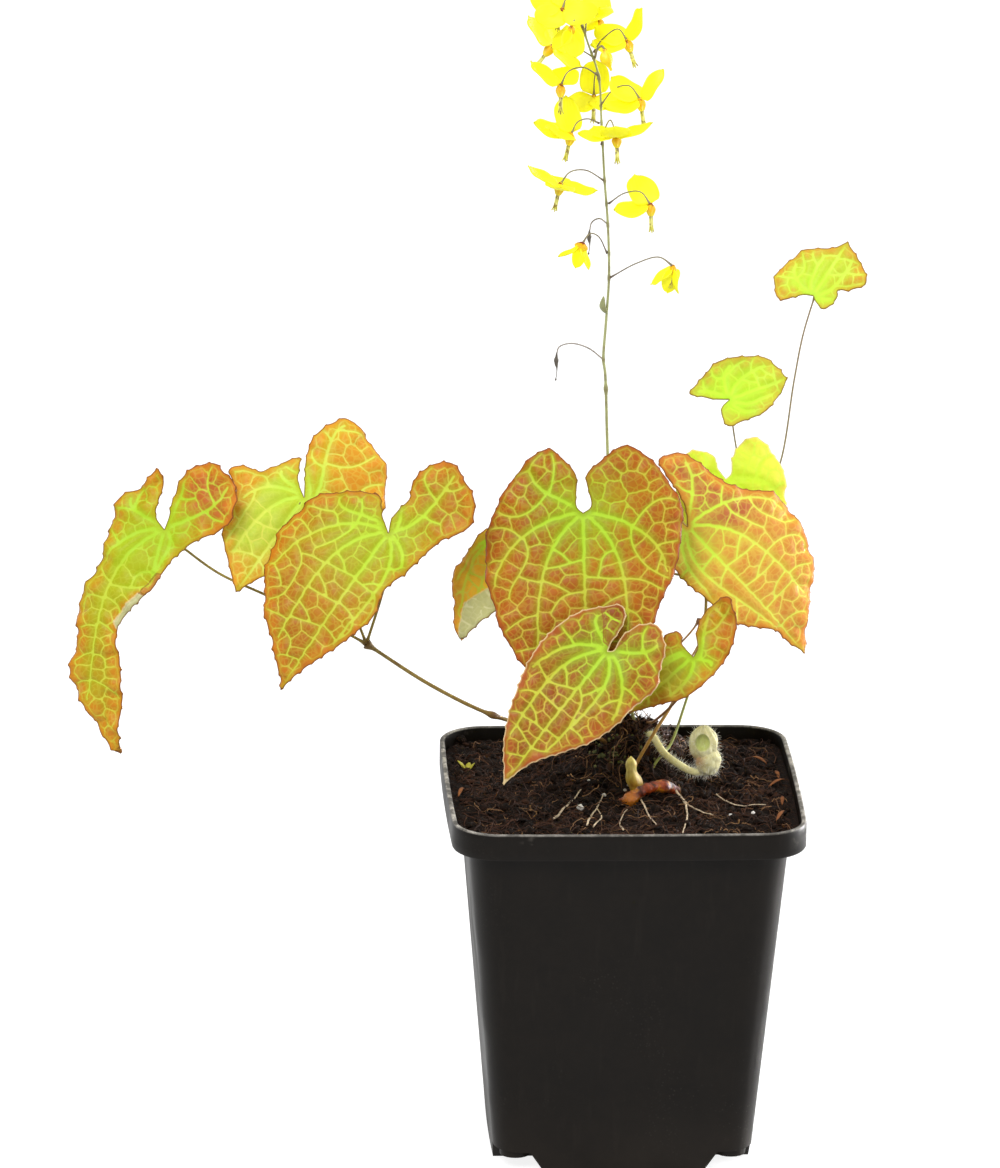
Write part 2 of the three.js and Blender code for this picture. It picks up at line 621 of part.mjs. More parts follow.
function makeLeafStalk(stalk) {
  const [thick, thin] = stalk.radius;
  const fork = stalk.stem[stalk.stem.length - 1];
  const pieces = [stem(stalk.stem, thick, thin, stalk.stem.length + 3)];
  stalk.knots.forEach((knot) => pieces.push(bump(knot.at, knot.radius)));
  Object.entries(stalk.stalklets).forEach(([name, route]) => {
    const points = [fork, ...route, ...leafSeat(LEAFLETS[name])];
    pieces.push(stem(points, STALKLET_RADIUS, STALKLET_RADIUS, points.length + 2, 5));
  });
  return fuse(pieces);
}

// The middle line of the flower stalk, and its radius at the foot and at the tip.
const RACEME = [[3, 19.5, 94], [4.5, 18, 104], [4, 17, 107], [1, 14, 125.5], [-2.5, 10, 156], [-4, 8, 180.5],
  [-5, 7, 201.5], [-5.5, 6.5, 205], [-5, 6, 215.5], [-4.5, 5, 227.5], [-5, 5, 241], [-6, 5, 252.5],
  [-7, 5, 267.5], [-8, 5, 280], [-11, 5, 289], [-13, 5, 295]];
const RACEME_RADIUS = [0.85, 0.45];

// Flowers. Each hangs from its pedicel with its cup and stamens along the axis. A sepal is
// [around, lift]: around is its direction about the axis in degrees, from the right-hand
// side through the front, and lift is its angle up from square to the axis.
const FLOWERS = {
  flower_1: {
    at: [11.5, 1, 231.2], axis: [-0.1, -0.05, -1], sepals: [[180, -54], [60, -78], [300, -78]],
    size: 0.8, pedicel: [[-4.5, 5, 227], [2.5, 3, 231.5], [8, 2, 233.3]],
  },
  flower_2: {
    at: [-11.6, 0, 237.4], axis: [-0.35, -0.2, -0.9], sepals: [[0, -48], [65, -62], [180, -20]],
    size: 0.7, pedicel: [[-5, 5, 233.5], [-7.5, 3, 238.5], [-9.8, 1.3, 239.6]],
  },
  flower_3: {
    at: [5.5, 1, 247.3], axis: [0.05, 0, -1], sepals: [[240, 42], [185, -10]],
    pedicel: [[-5, 5, 246.5], [-1, 3, 249.8], [3, 1.5, 250.5]],
  },
  flower_4: {
    at: [-17.4, 0.5, 252.8], axis: [-0.2, 0, -0.98], sepals: [[5, 12], [95, 8], [185, 12], [262, 3]],
    pedicel: [[-6, 5, 252.5], [-11, 2.5, 255.9], [-15, 1, 255.8]],
  },
  flower_5: {
    at: [-3.7, -5, 266.8], axis: [0.05, 0, -1], sepals: [[12, 19], [95, 25], [195, 2], [235, 5]],
    pedicel: [[-7, 5, 262], [-6, 1, 268], [-5, -3, 270.3]],
  },
  flower_6: {
    at: [-14.8, 2, 265.4], axis: [-0.2, 0, -0.98], sepals: [[180, 5], [132, 12], [235, 55]],
    pedicel: [[-7.5, 5, 267.5], [-10.5, 4, 268.9], [-13.2, 3, 268.3]],
  },
  flower_7: {
    at: [-17.8, -2, 279.1], axis: [0, -0.2, -0.98], sepals: [[285, 28], [190, 38]],
    pedicel: [[-8, 5, 280], [-12, 2, 282.8], [-16, -1, 282.4]],
  },
  flower_8: {
    at: [2.4, 0, 275], axis: [0.15, 0, -0.99], sepals: [[0, 46], [215, 32], [165, -5]],
    pedicel: [[-7.5, 5, 272], [-4, 3.5, 276.9], [-0.2, 1.1, 278.2]],
  },
  flower_9: {
    at: [-8.5, 16, 271.6], axis: [0, 0.1, -1], sepals: [[50, 0], [140, -5], [275, 50]],
    pedicel: [[-8, 5, 279], [-8.3, 10, 279.4], [-8.5, 15, 276]],
  },
  flower_10: {
    at: [-0.7, 8, 288.1], axis: [0.3, 0, -0.95], sepals: [[0, 48], [215, 30], [172, 10]],
    pedicel: [[-9.3, 5, 286], [-7, 8.5, 288.4], [-3, 9, 291]],
  },
  flower_11: {
    at: [-19.8, 7, 286.9], axis: [-0.6, 0, -0.8], sepals: [[0, 3], [195, 15], [282, 22]],
    pedicel: [[-9, 5, 284.5], [-12.5, 8, 286], [-17, 8, 289]],
  },
  flower_12: {
    at: [-17.5, 1.5, 298], axis: [-0.15, 0.45, -0.88], sepals: [[20, 12], [135, 0], [200, 8], [280, 20]],
    pedicel: [[-13, 5, 295], [-13.8, 5.5, 299], [-16, 3.5, 301.5]],
  },
  flower_13: {
    at: [-7.5, 18, 291.1], axis: [0.2, 0.2, -0.95], sepals: [[80, 40], [160, 15], [270, 30]],
    pedicel: [[-11.5, 5, 291], [-10.8, 10, 293.4], [-8.5, 17, 293.2]],
  },
  flower_14: {
    at: [-15.2, -2, 294.4], axis: [-0.1, 0.1, -0.98], sepals: [[180, -58], [60, -66], [300, -62]],
    size: 0.8, pedicel: [[-12.2, 5, 292.6], [-13, 1.5, 294.8], [-14.5, -1, 295.9]],
  },
};

// One sepal along +X with its root at the origin: broad, rounded and a little cupped.
function sepal() {
  const stations = [0, 0.34, 0.76];
  const halves = [0.18, 0.76, 0.96].map((share) => (share * SEPAL_WIDTH) / 2);
  const cupped = (share) => SEPAL_CUP * Math.sin(share * Math.PI);
  const flat = stations.flatMap((share, i) => [-1, 0, 1].map((side) => {
    const dip = side === 0 ? -cupped(share) : 0;
    return new THREE.Vector3(share * SEPAL_LENGTH, side * halves[i], dip);
  }));
  flat.push(new THREE.Vector3(SEPAL_LENGTH, 0, 0));
  const total = flat.length;
  const tip = total - 1;
  const faces = [];
  for (let k = 0; k + 1 < stations.length; k += 1) {
    for (let i = 0; i < 2; i += 1) {
      const a = k * 3 + i;
      faces.push([a, a + 3, a + 4], [a, a + 4, a + 1]);
    }
  }
  const last = tip - 3;
  faces.push([last, tip, last + 1], [last + 1, tip, last + 2]);
  const rightEdge = stations.map((share, k) => k * 3);
  const leftEdge = stations.map((share, k) => k * 3 + 2).reverse();
  const edge = [...rightEdge, tip, ...leftEdge, 1];
  const half = new THREE.Vector3(0, 0, SEPAL_THICK / 2);
  const layer = (sign) => flat.flatMap((p) => p.clone().addScaledVector(half, sign).toArray());
  const positions = [...layer(1), ...layer(-1)];
  const indices = faces.flatMap(([a, b, c]) => [a, b, c, a + total, c + total, b + total]);
  edge.forEach((a, i) => {
    const b = edge[(i + 1) % edge.length];
    indices.push(a, a + total, b + total, a, b + total, b);
  });
  return closedGeometry(positions, indices);
}

function turned(axis) {
  const down = vec(axis).normalize();
  const right = new THREE.Vector3(1, 0, 0);
  right.addScaledVector(down, -right.dot(down)).normalize();
  const front = down.clone().cross(right);
  return new THREE.Matrix4().makeBasis(right, front.clone().negate(), down.clone().negate());
}

function stalkRadius(z) {
  const [low, high] = [RACEME[0][2], RACEME[RACEME.length - 1][2]];
  return THREE.MathUtils.mapLinear(z, low, high, ...RACEME_RADIUS);
}

// Where a pedicel starts: just off the side of the flower stalk that it leaves from.
function pedicelStart([foot, next]) {
  const away = vec(next).sub(vec(foot)).setZ(0).normalize();
  return vec(foot).addScaledVector(away, stalkRadius(foot[2]) + PEDICEL_RADIUS + SEAT_GAP).toArray();
}

const pedicel = (points) => stem(points, PEDICEL_RADIUS * 1.2, PEDICEL_RADIUS, points.length + 2, 4);

// The flower with its pedicel, which starts just off the flower stalk.
function makeFlower(flower) {
  const profile = [[0, -8.2], [0.5, -8.2], [0.6, -3.8], [1.9, -1.3], [1.9, -0.7], [0.9, -0.3], [0.8, HUB_TOP],
    [0, HUB_TOP]].map(([r, z]) => new THREE.Vector2(r, z));
  const middle = new THREE.LatheGeometry(profile, 5);
  middle.rotateX(Math.PI / 2);
  const pieces = [middle];
  flower.sepals.forEach(([around, lift]) => {
    const leaf = sepal();
    leaf.translate(SEPAL_ROOT, 0, 0);
    leaf.rotateY(-radians(lift));
    leaf.rotateZ(-radians(around));
    pieces.push(leaf);
  });
  const whole = fuse(pieces);
  const size = flower.size ?? 1;
  whole.scale(size, size, size);
  whole.applyMatrix4(turned(flower.axis));
  whole.translate(...flower.at);
  return fuse([whole, pedicel([pedicelStart(flower.pedicel), ...flower.pedicel.slice(1), flower.at])]);
}

const BUD_PEDICEL = [[-9, 5, 284.5], [-8.4, 3.5, 287.3], [-7.3, 2.5, 288.2]];
const SPENT = [
  {
    pedicel: [[-5.5, 6.5, 205], [-9.5, 5, 208.5], [-14, 4, 210], [-17, 4, 209]],
    hang: [-17.5, 4, 207], length: 4,
  },
  { pedicel: [[-5, 5, 241], [-7, 6, 242.3], [-9, 7, 241]], hang: [-9.5, 7, 238.5], length: 3.5 },
];

function makeRaceme() {
  const [thick, thin] = RACEME_RADIUS;
  const pieces = [stem(RACEME, thick, thin, 24)];
  SPENT.forEach(({ pedicel: route, hang, length }) => {
    const [x, y, z] = hang;
    pieces.push(pedicel([...route, hang]));
    pieces.push(bump([x, y, z - length / 3], 0.75, [1, 1, 1]));
    pieces.push(stem([[x, y, z], [x, y, z - length]], 0.6, 0.35, 1, 5));
  });
  pieces.push(stem([[-5, 5.6, 217.5], [-6, 4.6, 219.5], [-5.8, 4.4, 222.3]], 0.8, 0.35, 3, 5));
  pieces.push(bump([-4.6, 6.8, 197], 0.8));
  return fuse(pieces);
}

// A closed flower bud that hangs from its pedicel.
function makeFlowerBud() {
  const top = [-6.8, 2, 287.6];
  const bud = stem([top, [-6.2, 2, 285.2], [-4.9, 2, 282]], 0.8, 0.5, 3, 6);
  const hanger = pedicel([pedicelStart(BUD_PEDICEL), ...BUD_PEDICEL.slice(1), top]);
  return fuse([hanger, bud, bump([-6, 2, 284.9], 1.4, [1, 1, 1.3])]);
}

// Pieces at the crown

const SHOOT = [[9, 16.5, 93], [8.2, 14, 102], [9, 9, 103.5], [11.5, 4, 100.8], [15.5, 0, 98.8], [19, -4, 98.3],
  [22.5, -6, 99.3], [24, -6, 102]];

// The young shoot: a soft stem that arches over the soil and ends in one rolled leaf.
function makeShoot() {
  const hood = bump([21.5, -6, 105.2], 1, [3.4, 2.8, 6.6]);
  const hollow = bump([20.4, -8.6, 106.2], 1, [2, 2.2, 4]);
  const rolled = carve(hood, [hollow]);
  return fuse([stem(SHOOT, SHOOT_RADIUS, SHOOT_RADIUS * 0.9, 16, 6), rolled]);
}

const CROWN_BUD = [[4.5, -5, 91], [3.5, -5, 95], [2.6, -4.5, 99.5], [2, -4, 103.5]];

function makeCrownBud() {
  return fuse([stem(CROWN_BUD, 0.9, 0.45, 6, 6), bump([3.3, -4.9, 96.5], 1.35, [1, 1, 2.2])]);
}

const RHIZOME = [[-1, -8, 90], [2.5, -9.5, 93], [6, -8.5, 95], [9.5, -6.5, 95.3], [13, -4.5, 94], [15.5, -3, 91]];

function makeRhizome(gap = 0) {
  const [first, last] = [RHIZOME[0], RHIZOME[RHIZOME.length - 1]];
  const knobs = [[first, 1.7], [[2.5, -9.8, 92.6], 2], [[11, -5.8, 95], 1.9], [last, 1.5]];
  const swellings = knobs.map(([at, radius]) => bump(at, radius + gap * 1.2));
  return fuse([stem(RHIZOME, 1.5 + gap, 1.3 + gap, 5), ...swellings]);
}

// The whole plant in its pot

const holes = [
  ...Object.values(LEAF_STALKS).map((stalk) => stemHole(stalk.stem, stalk.radius[0])),
  stemHole(RACEME, RACEME_RADIUS[0]),
  stemHole(SHOOT, SHOOT_RADIUS),
  stemHole(CROWN_BUD, CROWN_HOLE),
];

function finish(color, roughness, side = THREE.FrontSide) {
  return new THREE.MeshStandardMaterial({ color, roughness, metalness: 0, side });
}

const plastic = () => finish(0x24211e, 0.5);
const compost = () => finish(0x2e1d14, 1);
const blade = (color) => finish(color, 0.6, THREE.DoubleSide);
const plain = (color) => finish(color, 0.7);

const group = new THREE.Group();

function add(name, geometry, material) {
  const mesh = new THREE.Mesh(geometry, material);
  mesh.name = name;
  group.add(mesh);
}

const place = (name, geometry, material) => add(name, settle(geometry), material);

add('pot', makePot(), plastic());
add('soil', makeSoil(holes.map(settle), [settle(makeRhizome(SEAT_GAP))]), compost());
Object.entries(LEAFLETS).forEach(([name, leaf]) => {
  place(name, makeLeaflet(leaf), blade(YOUNG_LEAFLETS.includes(name) ? 0xb8e02e : 0xc0772e));
});
Object.entries(LEAF_STALKS).forEach(([name, stalk]) => {
  place(name, makeLeafStalk(stalk), plain(0x8a8a45));
});
place('flower_stalk', makeRaceme(), plain(0x8fa35a));
Object.entries(FLOWERS).forEach(([name, flower]) => {
  place(name, makeFlower(flower), blade(0xf6ee2e));
});
place('flower_bud', makeFlowerBud(), plain(0xe8c020));
place('young_shoot', makeShoot(), plain(0xd8dc98));
place('crown_bud', makeCrownBud(), plain(0xe0d090));
place('rhizome', makeRhizome(), plain(0xa0501c));

export default group;
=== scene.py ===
import logging
import math
from dataclasses import dataclass, field
from enum import Enum
from typing import Callable, Iterable, Optional, Sequence

import bmesh
import bpy
import numpy as np
from mathutils import Matrix, Vector, kdtree
from mathutils.geometry import delaunay_2d_cdt


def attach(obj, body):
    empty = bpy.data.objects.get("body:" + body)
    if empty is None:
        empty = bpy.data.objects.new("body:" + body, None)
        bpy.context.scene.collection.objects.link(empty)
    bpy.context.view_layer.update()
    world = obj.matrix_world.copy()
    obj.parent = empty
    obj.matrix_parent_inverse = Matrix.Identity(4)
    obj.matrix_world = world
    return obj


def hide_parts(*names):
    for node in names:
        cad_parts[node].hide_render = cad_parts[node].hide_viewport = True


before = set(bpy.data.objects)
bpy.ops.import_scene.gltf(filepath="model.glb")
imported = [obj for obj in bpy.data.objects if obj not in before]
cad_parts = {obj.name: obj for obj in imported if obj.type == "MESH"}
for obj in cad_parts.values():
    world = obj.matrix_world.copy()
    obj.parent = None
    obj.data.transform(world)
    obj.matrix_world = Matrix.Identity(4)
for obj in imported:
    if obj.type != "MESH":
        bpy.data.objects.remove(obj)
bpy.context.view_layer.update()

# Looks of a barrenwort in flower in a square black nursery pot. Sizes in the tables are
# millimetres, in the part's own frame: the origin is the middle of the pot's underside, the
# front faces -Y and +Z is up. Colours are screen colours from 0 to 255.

logging.basicConfig(level=logging.INFO, format="%(message)s")
LOG = logging.getLogger("barrenwort")

Array = np.ndarray
Pair = tuple[float, float]
Triple = tuple[float, float, float]
Tone = tuple[int, int, int]
Piece = bpy.types.Object
Material = bpy.types.Material
Socket = bpy.types.NodeSocket

MM = 0.001
PLANT_TURN = math.radians(-0.8)
PLANT_SHIFT = -0.5


# Curves and small geometry


def rgb(tone: Sequence[int]) -> tuple[float, ...]:
    """The linear colour of a screen colour."""
    channel = [value / 255 for value in tone]
    return (*[c / 12.92 if c <= 0.04045 else ((c + 0.055) / 1.055) ** 2.4 for c in channel], 1.0)


def blend(first: Tone, other: Tone, share: float) -> Tone:
    """A screen colour between two, nearer to the other one as the share grows."""
    return tuple(int((1 - share) * a + share * b) for a, b in zip(first, other))


def settle(points: Array) -> Array:
    """The places of plant points once the plant is turned and shifted in its pot."""
    turned = np.array(points, dtype=float)
    c, s = math.cos(PLANT_TURN), math.sin(PLANT_TURN)
    x, y = turned[..., 0].copy(), turned[..., 1].copy()
    turned[..., 0] = c * x - s * y + PLANT_SHIFT
    turned[..., 1] = s * x + c * y
    return turned


def smooth_path(points: Sequence[Sequence[float]], per_span: int = 12) -> Array:
    """A smooth curve through points.

    Args:
        points: The places that the curve goes through.
        per_span: How many steps it has between two of them.

    Returns:
        The points of the curve, one row each.
    """
    p = np.asarray(points, dtype=float)
    if len(p) == 2:
        share = np.linspace(0, 1, per_span + 1)[:, None]
        return p[0] * (1 - share) + p[1] * share
    whole = np.vstack([2 * p[0] - p[1], p, 2 * p[-1] - p[-2]])
    t = np.linspace(0, 1, per_span, endpoint=False)[:, None]
    rows = []
    for p0, p1, p2, p3 in zip(whole, whole[1:], whole[2:], whole[3:]):
        t0, t1, t2 = [max(np.linalg.norm(b - a) ** 0.5, 1e-6) for a, b in ((p0, p1), (p1, p2), (p2, p3))]
        m1 = ((p1 - p0) / t0 - (p2 - p0) / (t0 + t1) + (p2 - p1) / t1) * t1
        m2 = ((p2 - p1) / t1 - (p3 - p1) / (t1 + t2) + (p3 - p2) / t2) * t1
        rows.append((2 * t**3 - 3 * t**2 + 1) * p1 + (t**3 - 2 * t**2 + t) * m1
                    + (-2 * t**3 + 3 * t**2) * p2 + (t**3 - t**2) * m2)
    return np.vstack([*rows, p[-1:]])


def lengths(path: Array) -> Array:
    """The distance along a path of each of its points."""
    return np.concatenate([[0.0], np.cumsum(np.linalg.norm(np.diff(path, axis=0), axis=1))])


def resample(path: Array, step: float) -> Array:
    """The same path with points about one step apart."""
    run = lengths(path)
    at = np.linspace(0, run[-1], max(2, int(round(run[-1] / step)) + 1))
    return np.stack([np.interp(at, run, path[:, k]) for k in range(path.shape[1])], axis=1)


def curve(points: Sequence[Sequence[float]], step: float) -> tuple[Array, Array]:
    """A smooth curve with points about one step apart, and the share of its length at each."""
    path = resample(smooth_path(points), step)
    return path, np.linspace(0, 1, len(path))


def unit(rows: Array) -> Array:
    """Each row scaled to length one."""
    return rows / np.maximum(np.linalg.norm(rows, axis=-1, keepdims=True), 1e-9)


def bell(value: object, middle: float, width: float) -> object:
    """A soft hump: one at the middle, falling away within the width."""
    return np.exp(-(((value - middle) / width) ** 2))


def ramp(value: object, low: float, high: float) -> object:
    """A straight rise from nothing at one level to one at another."""
    return np.clip((value - low) / (high - low), 0, 1)


def direction(degrees: float) -> Array:
    """The unit direction at an angle in the plane."""
    return np.array([math.cos(math.radians(degrees)), math.sin(math.radians(degrees))])


def about(axis: int, degrees: float) -> Array:
    """The matrix that turns rows of points about an axis."""
    i, j = (axis + 1) % 3, (axis + 2) % 3
    turn = np.eye(3)
    turn[i, i], turn[i, j] = direction(degrees)
    turn[j, j], turn[j, i] = turn[i, i], -turn[i, j]
    return turn


def hash_noise(at: Array, seed: float = 0.0) -> Array:
    """Smooth steady noise from -1 to 1 over points in two or three dimensions."""
    phase = np.array([[1.31, 2.17, 0.73], [-1.87, 0.61, 1.43], [0.57, -1.13, 2.29], [2.03, 1.71, -0.97]])
    wide = np.zeros((len(at), 3))
    wide[:, : at.shape[1]] = at
    total = np.zeros(len(at))
    for k, row in enumerate(phase):
        total += np.sin(wide @ row + seed * (k + 1.7) + np.sin(wide @ row[::-1] * 0.63 + seed))
    return total / 4


def noise_rows(at: Array, *seeds: float) -> Array:
    """The steady noise over points, with one column for each seed."""
    return np.stack([hash_noise(at, seed) for seed in seeds], axis=1)


def bands(rings: int, count: int, inward: bool = False) -> list[tuple[int, ...]]:
    """The faces between rings of equally many points, in their order or turned inward."""
    faces = []
    for k in range(rings - 1):
        for i in range(count):
            low, ahead = k * count + i, k * count + (i + 1) % count
            face = (low, ahead, ahead + count, low + count)
            faces.append(face[:1] + face[:0:-1] if inward else face)
    return faces


# Meshes


class Shape:
    """A mesh being gathered in millimetres, with a finish number and attributes for each point."""

    def __init__(self) -> None:
        """Starts with nothing."""
        self.points: list[Array] = []
        self.faces: list[tuple[int, ...]] = []
        self.finish: list[int] = []
        self.values: dict[str, list[Array]] = {}
        self.count = 0

    def add(self, points: Array, faces: Iterable[Sequence[int]], finish: int = 0, **values: Array) -> None:
        """Adds points and the faces between them.

        Args:
            points: Places in millimetres, one row each.
            faces: Rows of indices into those points.
            finish: The material slot of the faces.
            values: Attribute values, one for each point.
        """
        rows = np.asarray(points, dtype=float)
        for name in set(self.values) | set(values):
            kept = self.values.setdefault(name, [np.zeros(self.count)] if self.count else [])
            kept.append(np.broadcast_to(np.asarray(values.get(name, 0.0), dtype=float), (len(rows),)).copy())
        new = [tuple(int(i) + self.count for i in face) for face in faces]
        self.points.append(rows)
        self.faces.extend(new)
        self.finish.extend([finish] * len(new))
        self.count += len(rows)

    def tube(self, path: Array, radius: Array, sides: int = 10, finish: int = 0, flat: float = 1.0,
             **values: Array) -> None:
        """Adds a round stem along a path, closed at both ends.

        Args:
            path: The middle line.
            radius: The radius at each of its points.
            sides: How many sides the stem has.
            finish: The material slot of the faces.
            flat: Below one, the stem is flatter across its second direction.
            values: Attribute values, one for each point of the path.
        """
        steps = len(path)
        ahead = unit(np.gradient(path, axis=0))
        side = np.zeros_like(path)
        first = np.cross(ahead[0], [0.0, 0.0, 1.0])
        if np.linalg.norm(first) < 0.1:
            first = np.cross(ahead[0], [0.0, 1.0, 0.0])
        side[0] = first / np.linalg.norm(first)
        for k in range(1, steps):
            side[k] = unit(side[k - 1] - ahead[k] * np.dot(side[k - 1], ahead[k]))
        angle = np.linspace(0, 2 * math.pi, sides, endpoint=False)[None, :, None]
        ring = side[:, None] * np.cos(angle) + np.cross(ahead, side)[:, None] * np.sin(angle) * flat
        reach = np.broadcast_to(np.asarray(radius, dtype=float), (steps,))[:, None, None]
        rows = np.vstack([(path[:, None] + ring * reach).reshape(-1, 3), path[0], path[-1]])
        last = (steps - 1) * sides
        faces = bands(steps, sides)
        faces += [(len(rows) - 2, (i + 1) % sides, i) for i in range(sides)]
        faces += [(len(rows) - 1, last + i, last + (i + 1) % sides) for i in range(sides)]
        spread = {}
        for name, value in values.items():
            value = np.broadcast_to(np.asarray(value, dtype=float), (steps,))
            spread[name] = np.concatenate([np.repeat(value, sides), value[:1], value[-1:]])
        self.add(rows, faces, finish, **spread)

    def ball(self, at: Sequence[float], radius: Sequence[float], detail: int = 2, rough: float = 0.0,
             seed: float = 0.0, finish: int = 0, turn: Optional[Matrix] = None, **values: float) -> None:
        """Adds a rounded lump.

        Args:
            at: Its middle.
            radius: Its reach along each axis.
            detail: How fine it is.
            rough: How far its surface wanders, as a share of the radius.
            seed: Chooses the surface.
            finish: The material slot of the faces.
            turn: A turn given to it before it is placed.
            values: Attribute values for all its points.
        """
        rows, faces = ball_mesh(detail)
        if rough:
            rows = rows * (1 + rough * hash_noise(rows * 2.3, seed))[:, None]
        rows = rows * np.asarray(radius, dtype=float)
        if turn is not None:
            rows = rows @ np.array(turn.to_3x3()).T
        self.add(rows + np.asarray(at, dtype=float), faces, finish, **values)

    def build(self, name: str, finishes: Sequence[Material]) -> Piece:
        """Makes the Blender object, shaded smooth, with its materials in the order of their numbers."""
        mesh = bpy.data.meshes.new(name)
        mesh.from_pydata((np.vstack(self.points) * MM).tolist(), [], self.faces)
        for finish in finishes:
            mesh.materials.append(finish)
        mesh.polygons.foreach_set("material_index", self.finish)
        mesh.polygons.foreach_set("use_smooth", [True] * len(self.faces))
        for key, rows in self.values.items():
            layer = mesh.attributes.new(key, "FLOAT", "POINT")
            layer.data.foreach_set("value", np.concatenate(rows))
        mesh.update()
        piece = bpy.data.objects.new(name, mesh)
        bpy.context.scene.collection.objects.link(piece)
        return piece


BALLS: dict[int, tuple[Array, list[tuple[int, ...]]]] = {}


def ball_mesh(detail: int) -> tuple[Array, list[tuple[int, ...]]]:
    """The points and triangles of a unit ball, made once for each fineness."""
    if detail not in BALLS:
        ball = bmesh.new()
        bmesh.ops.create_icosphere(ball, subdivisions=detail, radius=1.0)
        rows = np.array([vertex.co[:] for vertex in ball.verts])
        BALLS[detail] = (rows, [tuple(v.index for v in face.verts) for face in ball.faces])
        ball.free()
    return BALLS[detail]


def place(piece: Piece, slot: str, *nodes: str) -> Piece:
    """Rides a piece on the body and hides the nodes that it stands for."""
    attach(piece, "root")
    if nodes:
        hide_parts(*nodes)
    LOG.info("%s: %d faces", piece.name, len(piece.data.polygons))
    return piece


# Shader nodes


class Nodes:
    """A node tree being filled, with short calls for the kinds of node used here."""

    def __init__(self, tree: bpy.types.NodeTree) -> None:
        """Keeps the tree."""
        self.tree = tree

    def new(self, kind: str, inputs: Optional[dict] = None, **settings: object) -> bpy.types.Node:
        """A new shader node with its settings, and its inputs set to values or linked to sockets."""
        node = self.tree.nodes.new(kind if kind.startswith("Node") else "ShaderNode" + kind)
        for key, value in settings.items():
            setattr(node, key, value)
        for key, value in (inputs or {}).items():
            if isinstance(value, Socket):
                self.tree.links.new(value, node.inputs[key])
            else:
                node.inputs[key].default_value = value
        return node

    def math(self, operation: str, first: object, second: object = 0.0, clamp: bool = False) -> Socket:
        """One operation on two numbers."""
        return self.new("Math", {0: first, 1: second}, operation=operation, use_clamp=clamp).outputs[0]

    def times(self, first: object, *others: object) -> Socket:
        """The product of numbers."""
        for other in others:
            first = self.math("MULTIPLY", first, other)
        return first

    def plus(self, first: object, second: object) -> Socket:
        """The sum of two numbers."""
        return self.math("ADD", first, second)

    def most(self, first: object, second: object) -> Socket:
        """The larger of two numbers."""
        return self.math("MAXIMUM", first, second)

    def mix(self, share: object, first: object, second: object) -> Socket:
        """A mix of two colours, each a socket or a screen colour."""
        first, second = (rgb(c) if isinstance(c, tuple) else c for c in (first, second))
        return self.new("Mix", {0: share, 6: first, 7: second}, data_type="RGBA").outputs[2]

    def paint(self, colour: object, *layers: tuple[object, object]) -> Socket:
        """A colour with further ones laid over it, each with its share."""
        for share, over in layers:
            colour = self.mix(share, colour, over)
        return colour

    def fade(self, value: object, low: float, high: float, first: float = 0.0, last: float = 1.0) -> Socket:
        """A smooth step of a number from one level to another."""
        inputs = {0: value, 1: low, 2: high, 3: first, 4: last}
        return self.new("MapRange", inputs, interpolation_type="SMOOTHSTEP").outputs[0]

    def value(self, name: str) -> Socket:
        """A number that the mesh carries."""
        return self.new("Attribute", attribute_name=name).outputs["Fac"]

    def here(self) -> Socket:
        """The place on the object, in metres."""
        return self.new("TexCoord").outputs["Object"]

    def drawn_out(self, where: object, share: float) -> Socket:
        """The place with its height scaled, so that a pattern on it runs up and down."""
        return self.new("Mapping", {0: where, 3: (1.0, 1.0, share)}).outputs[0]

    def noise(self, where: object, scale: float, detail: float = 2.0, rough: float = 0.5) -> Socket:
        """A cloudy pattern from 0 to 1."""
        inputs = {"Vector": where, "Scale": scale, "Detail": detail, "Roughness": rough}
        return self.new("TexNoise", inputs).outputs["Fac"]

    def cells(self, where: object, scale: float, feature: str = "DISTANCE_TO_EDGE") -> Socket:
        """The distance to the borders of a pattern of cells, or to their middles."""
        return self.new("TexVoronoi", {"Vector": where, "Scale": scale}, feature=feature).outputs["Distance"]

    def group(self, name: str, **inputs: object) -> bpy.types.NodeOutputs:
        """The outputs of a shared group that is given its inputs."""
        return self.new("Group", inputs, node_tree=bpy.data.node_groups[name]).outputs

    def mottle(self, where: object, scale: float, amount: float, colour: Tone, other: Tone) -> Socket:
        """The cloudy change of one colour to another, from the shared group."""
        given = {"Place": where, "Scale": scale, "Amount": amount, "Colour": rgb(colour), "Other": rgb(other)}
        return self.group("mottle", **given)["Colour"]

    def bump(self, height: object, strength: float, distance: float) -> Socket:
        """A normal that follows a height."""
        inputs = {"Height": height, "Strength": strength, "Distance": distance}
        return self.new("Bump", inputs).outputs["Normal"]

    def surface(self, colour: object, rough: object, normal: Optional[Socket] = None, shine: float = 0.5,
                **more: object) -> None:
        """The surface itself and its way out.

        Args:
            colour: The base colour.
            rough: The roughness.
            normal: The normal, where it isn't the mesh's own.
            shine: The strength of the reflection.
            more: Further sockets by name, with low lines for spaces.
        """
        inputs = {"Base Color": colour, "Roughness": rough, "Specular IOR Level": shine}
        inputs |= {key.replace("_", " "): value for key, value in more.items()}
        if normal is not None:
            inputs["Normal"] = normal
        self.new("OutputMaterial", {"Surface": self.new("BsdfPrincipled", inputs).outputs[0]})


def new_material(name: str) -> tuple[Material, Nodes]:
    """An empty node material and its tree."""
    material = bpy.data.materials.new(name)
    material.use_nodes = True
    material.node_tree.nodes.clear()
    return material, Nodes(material.node_tree)


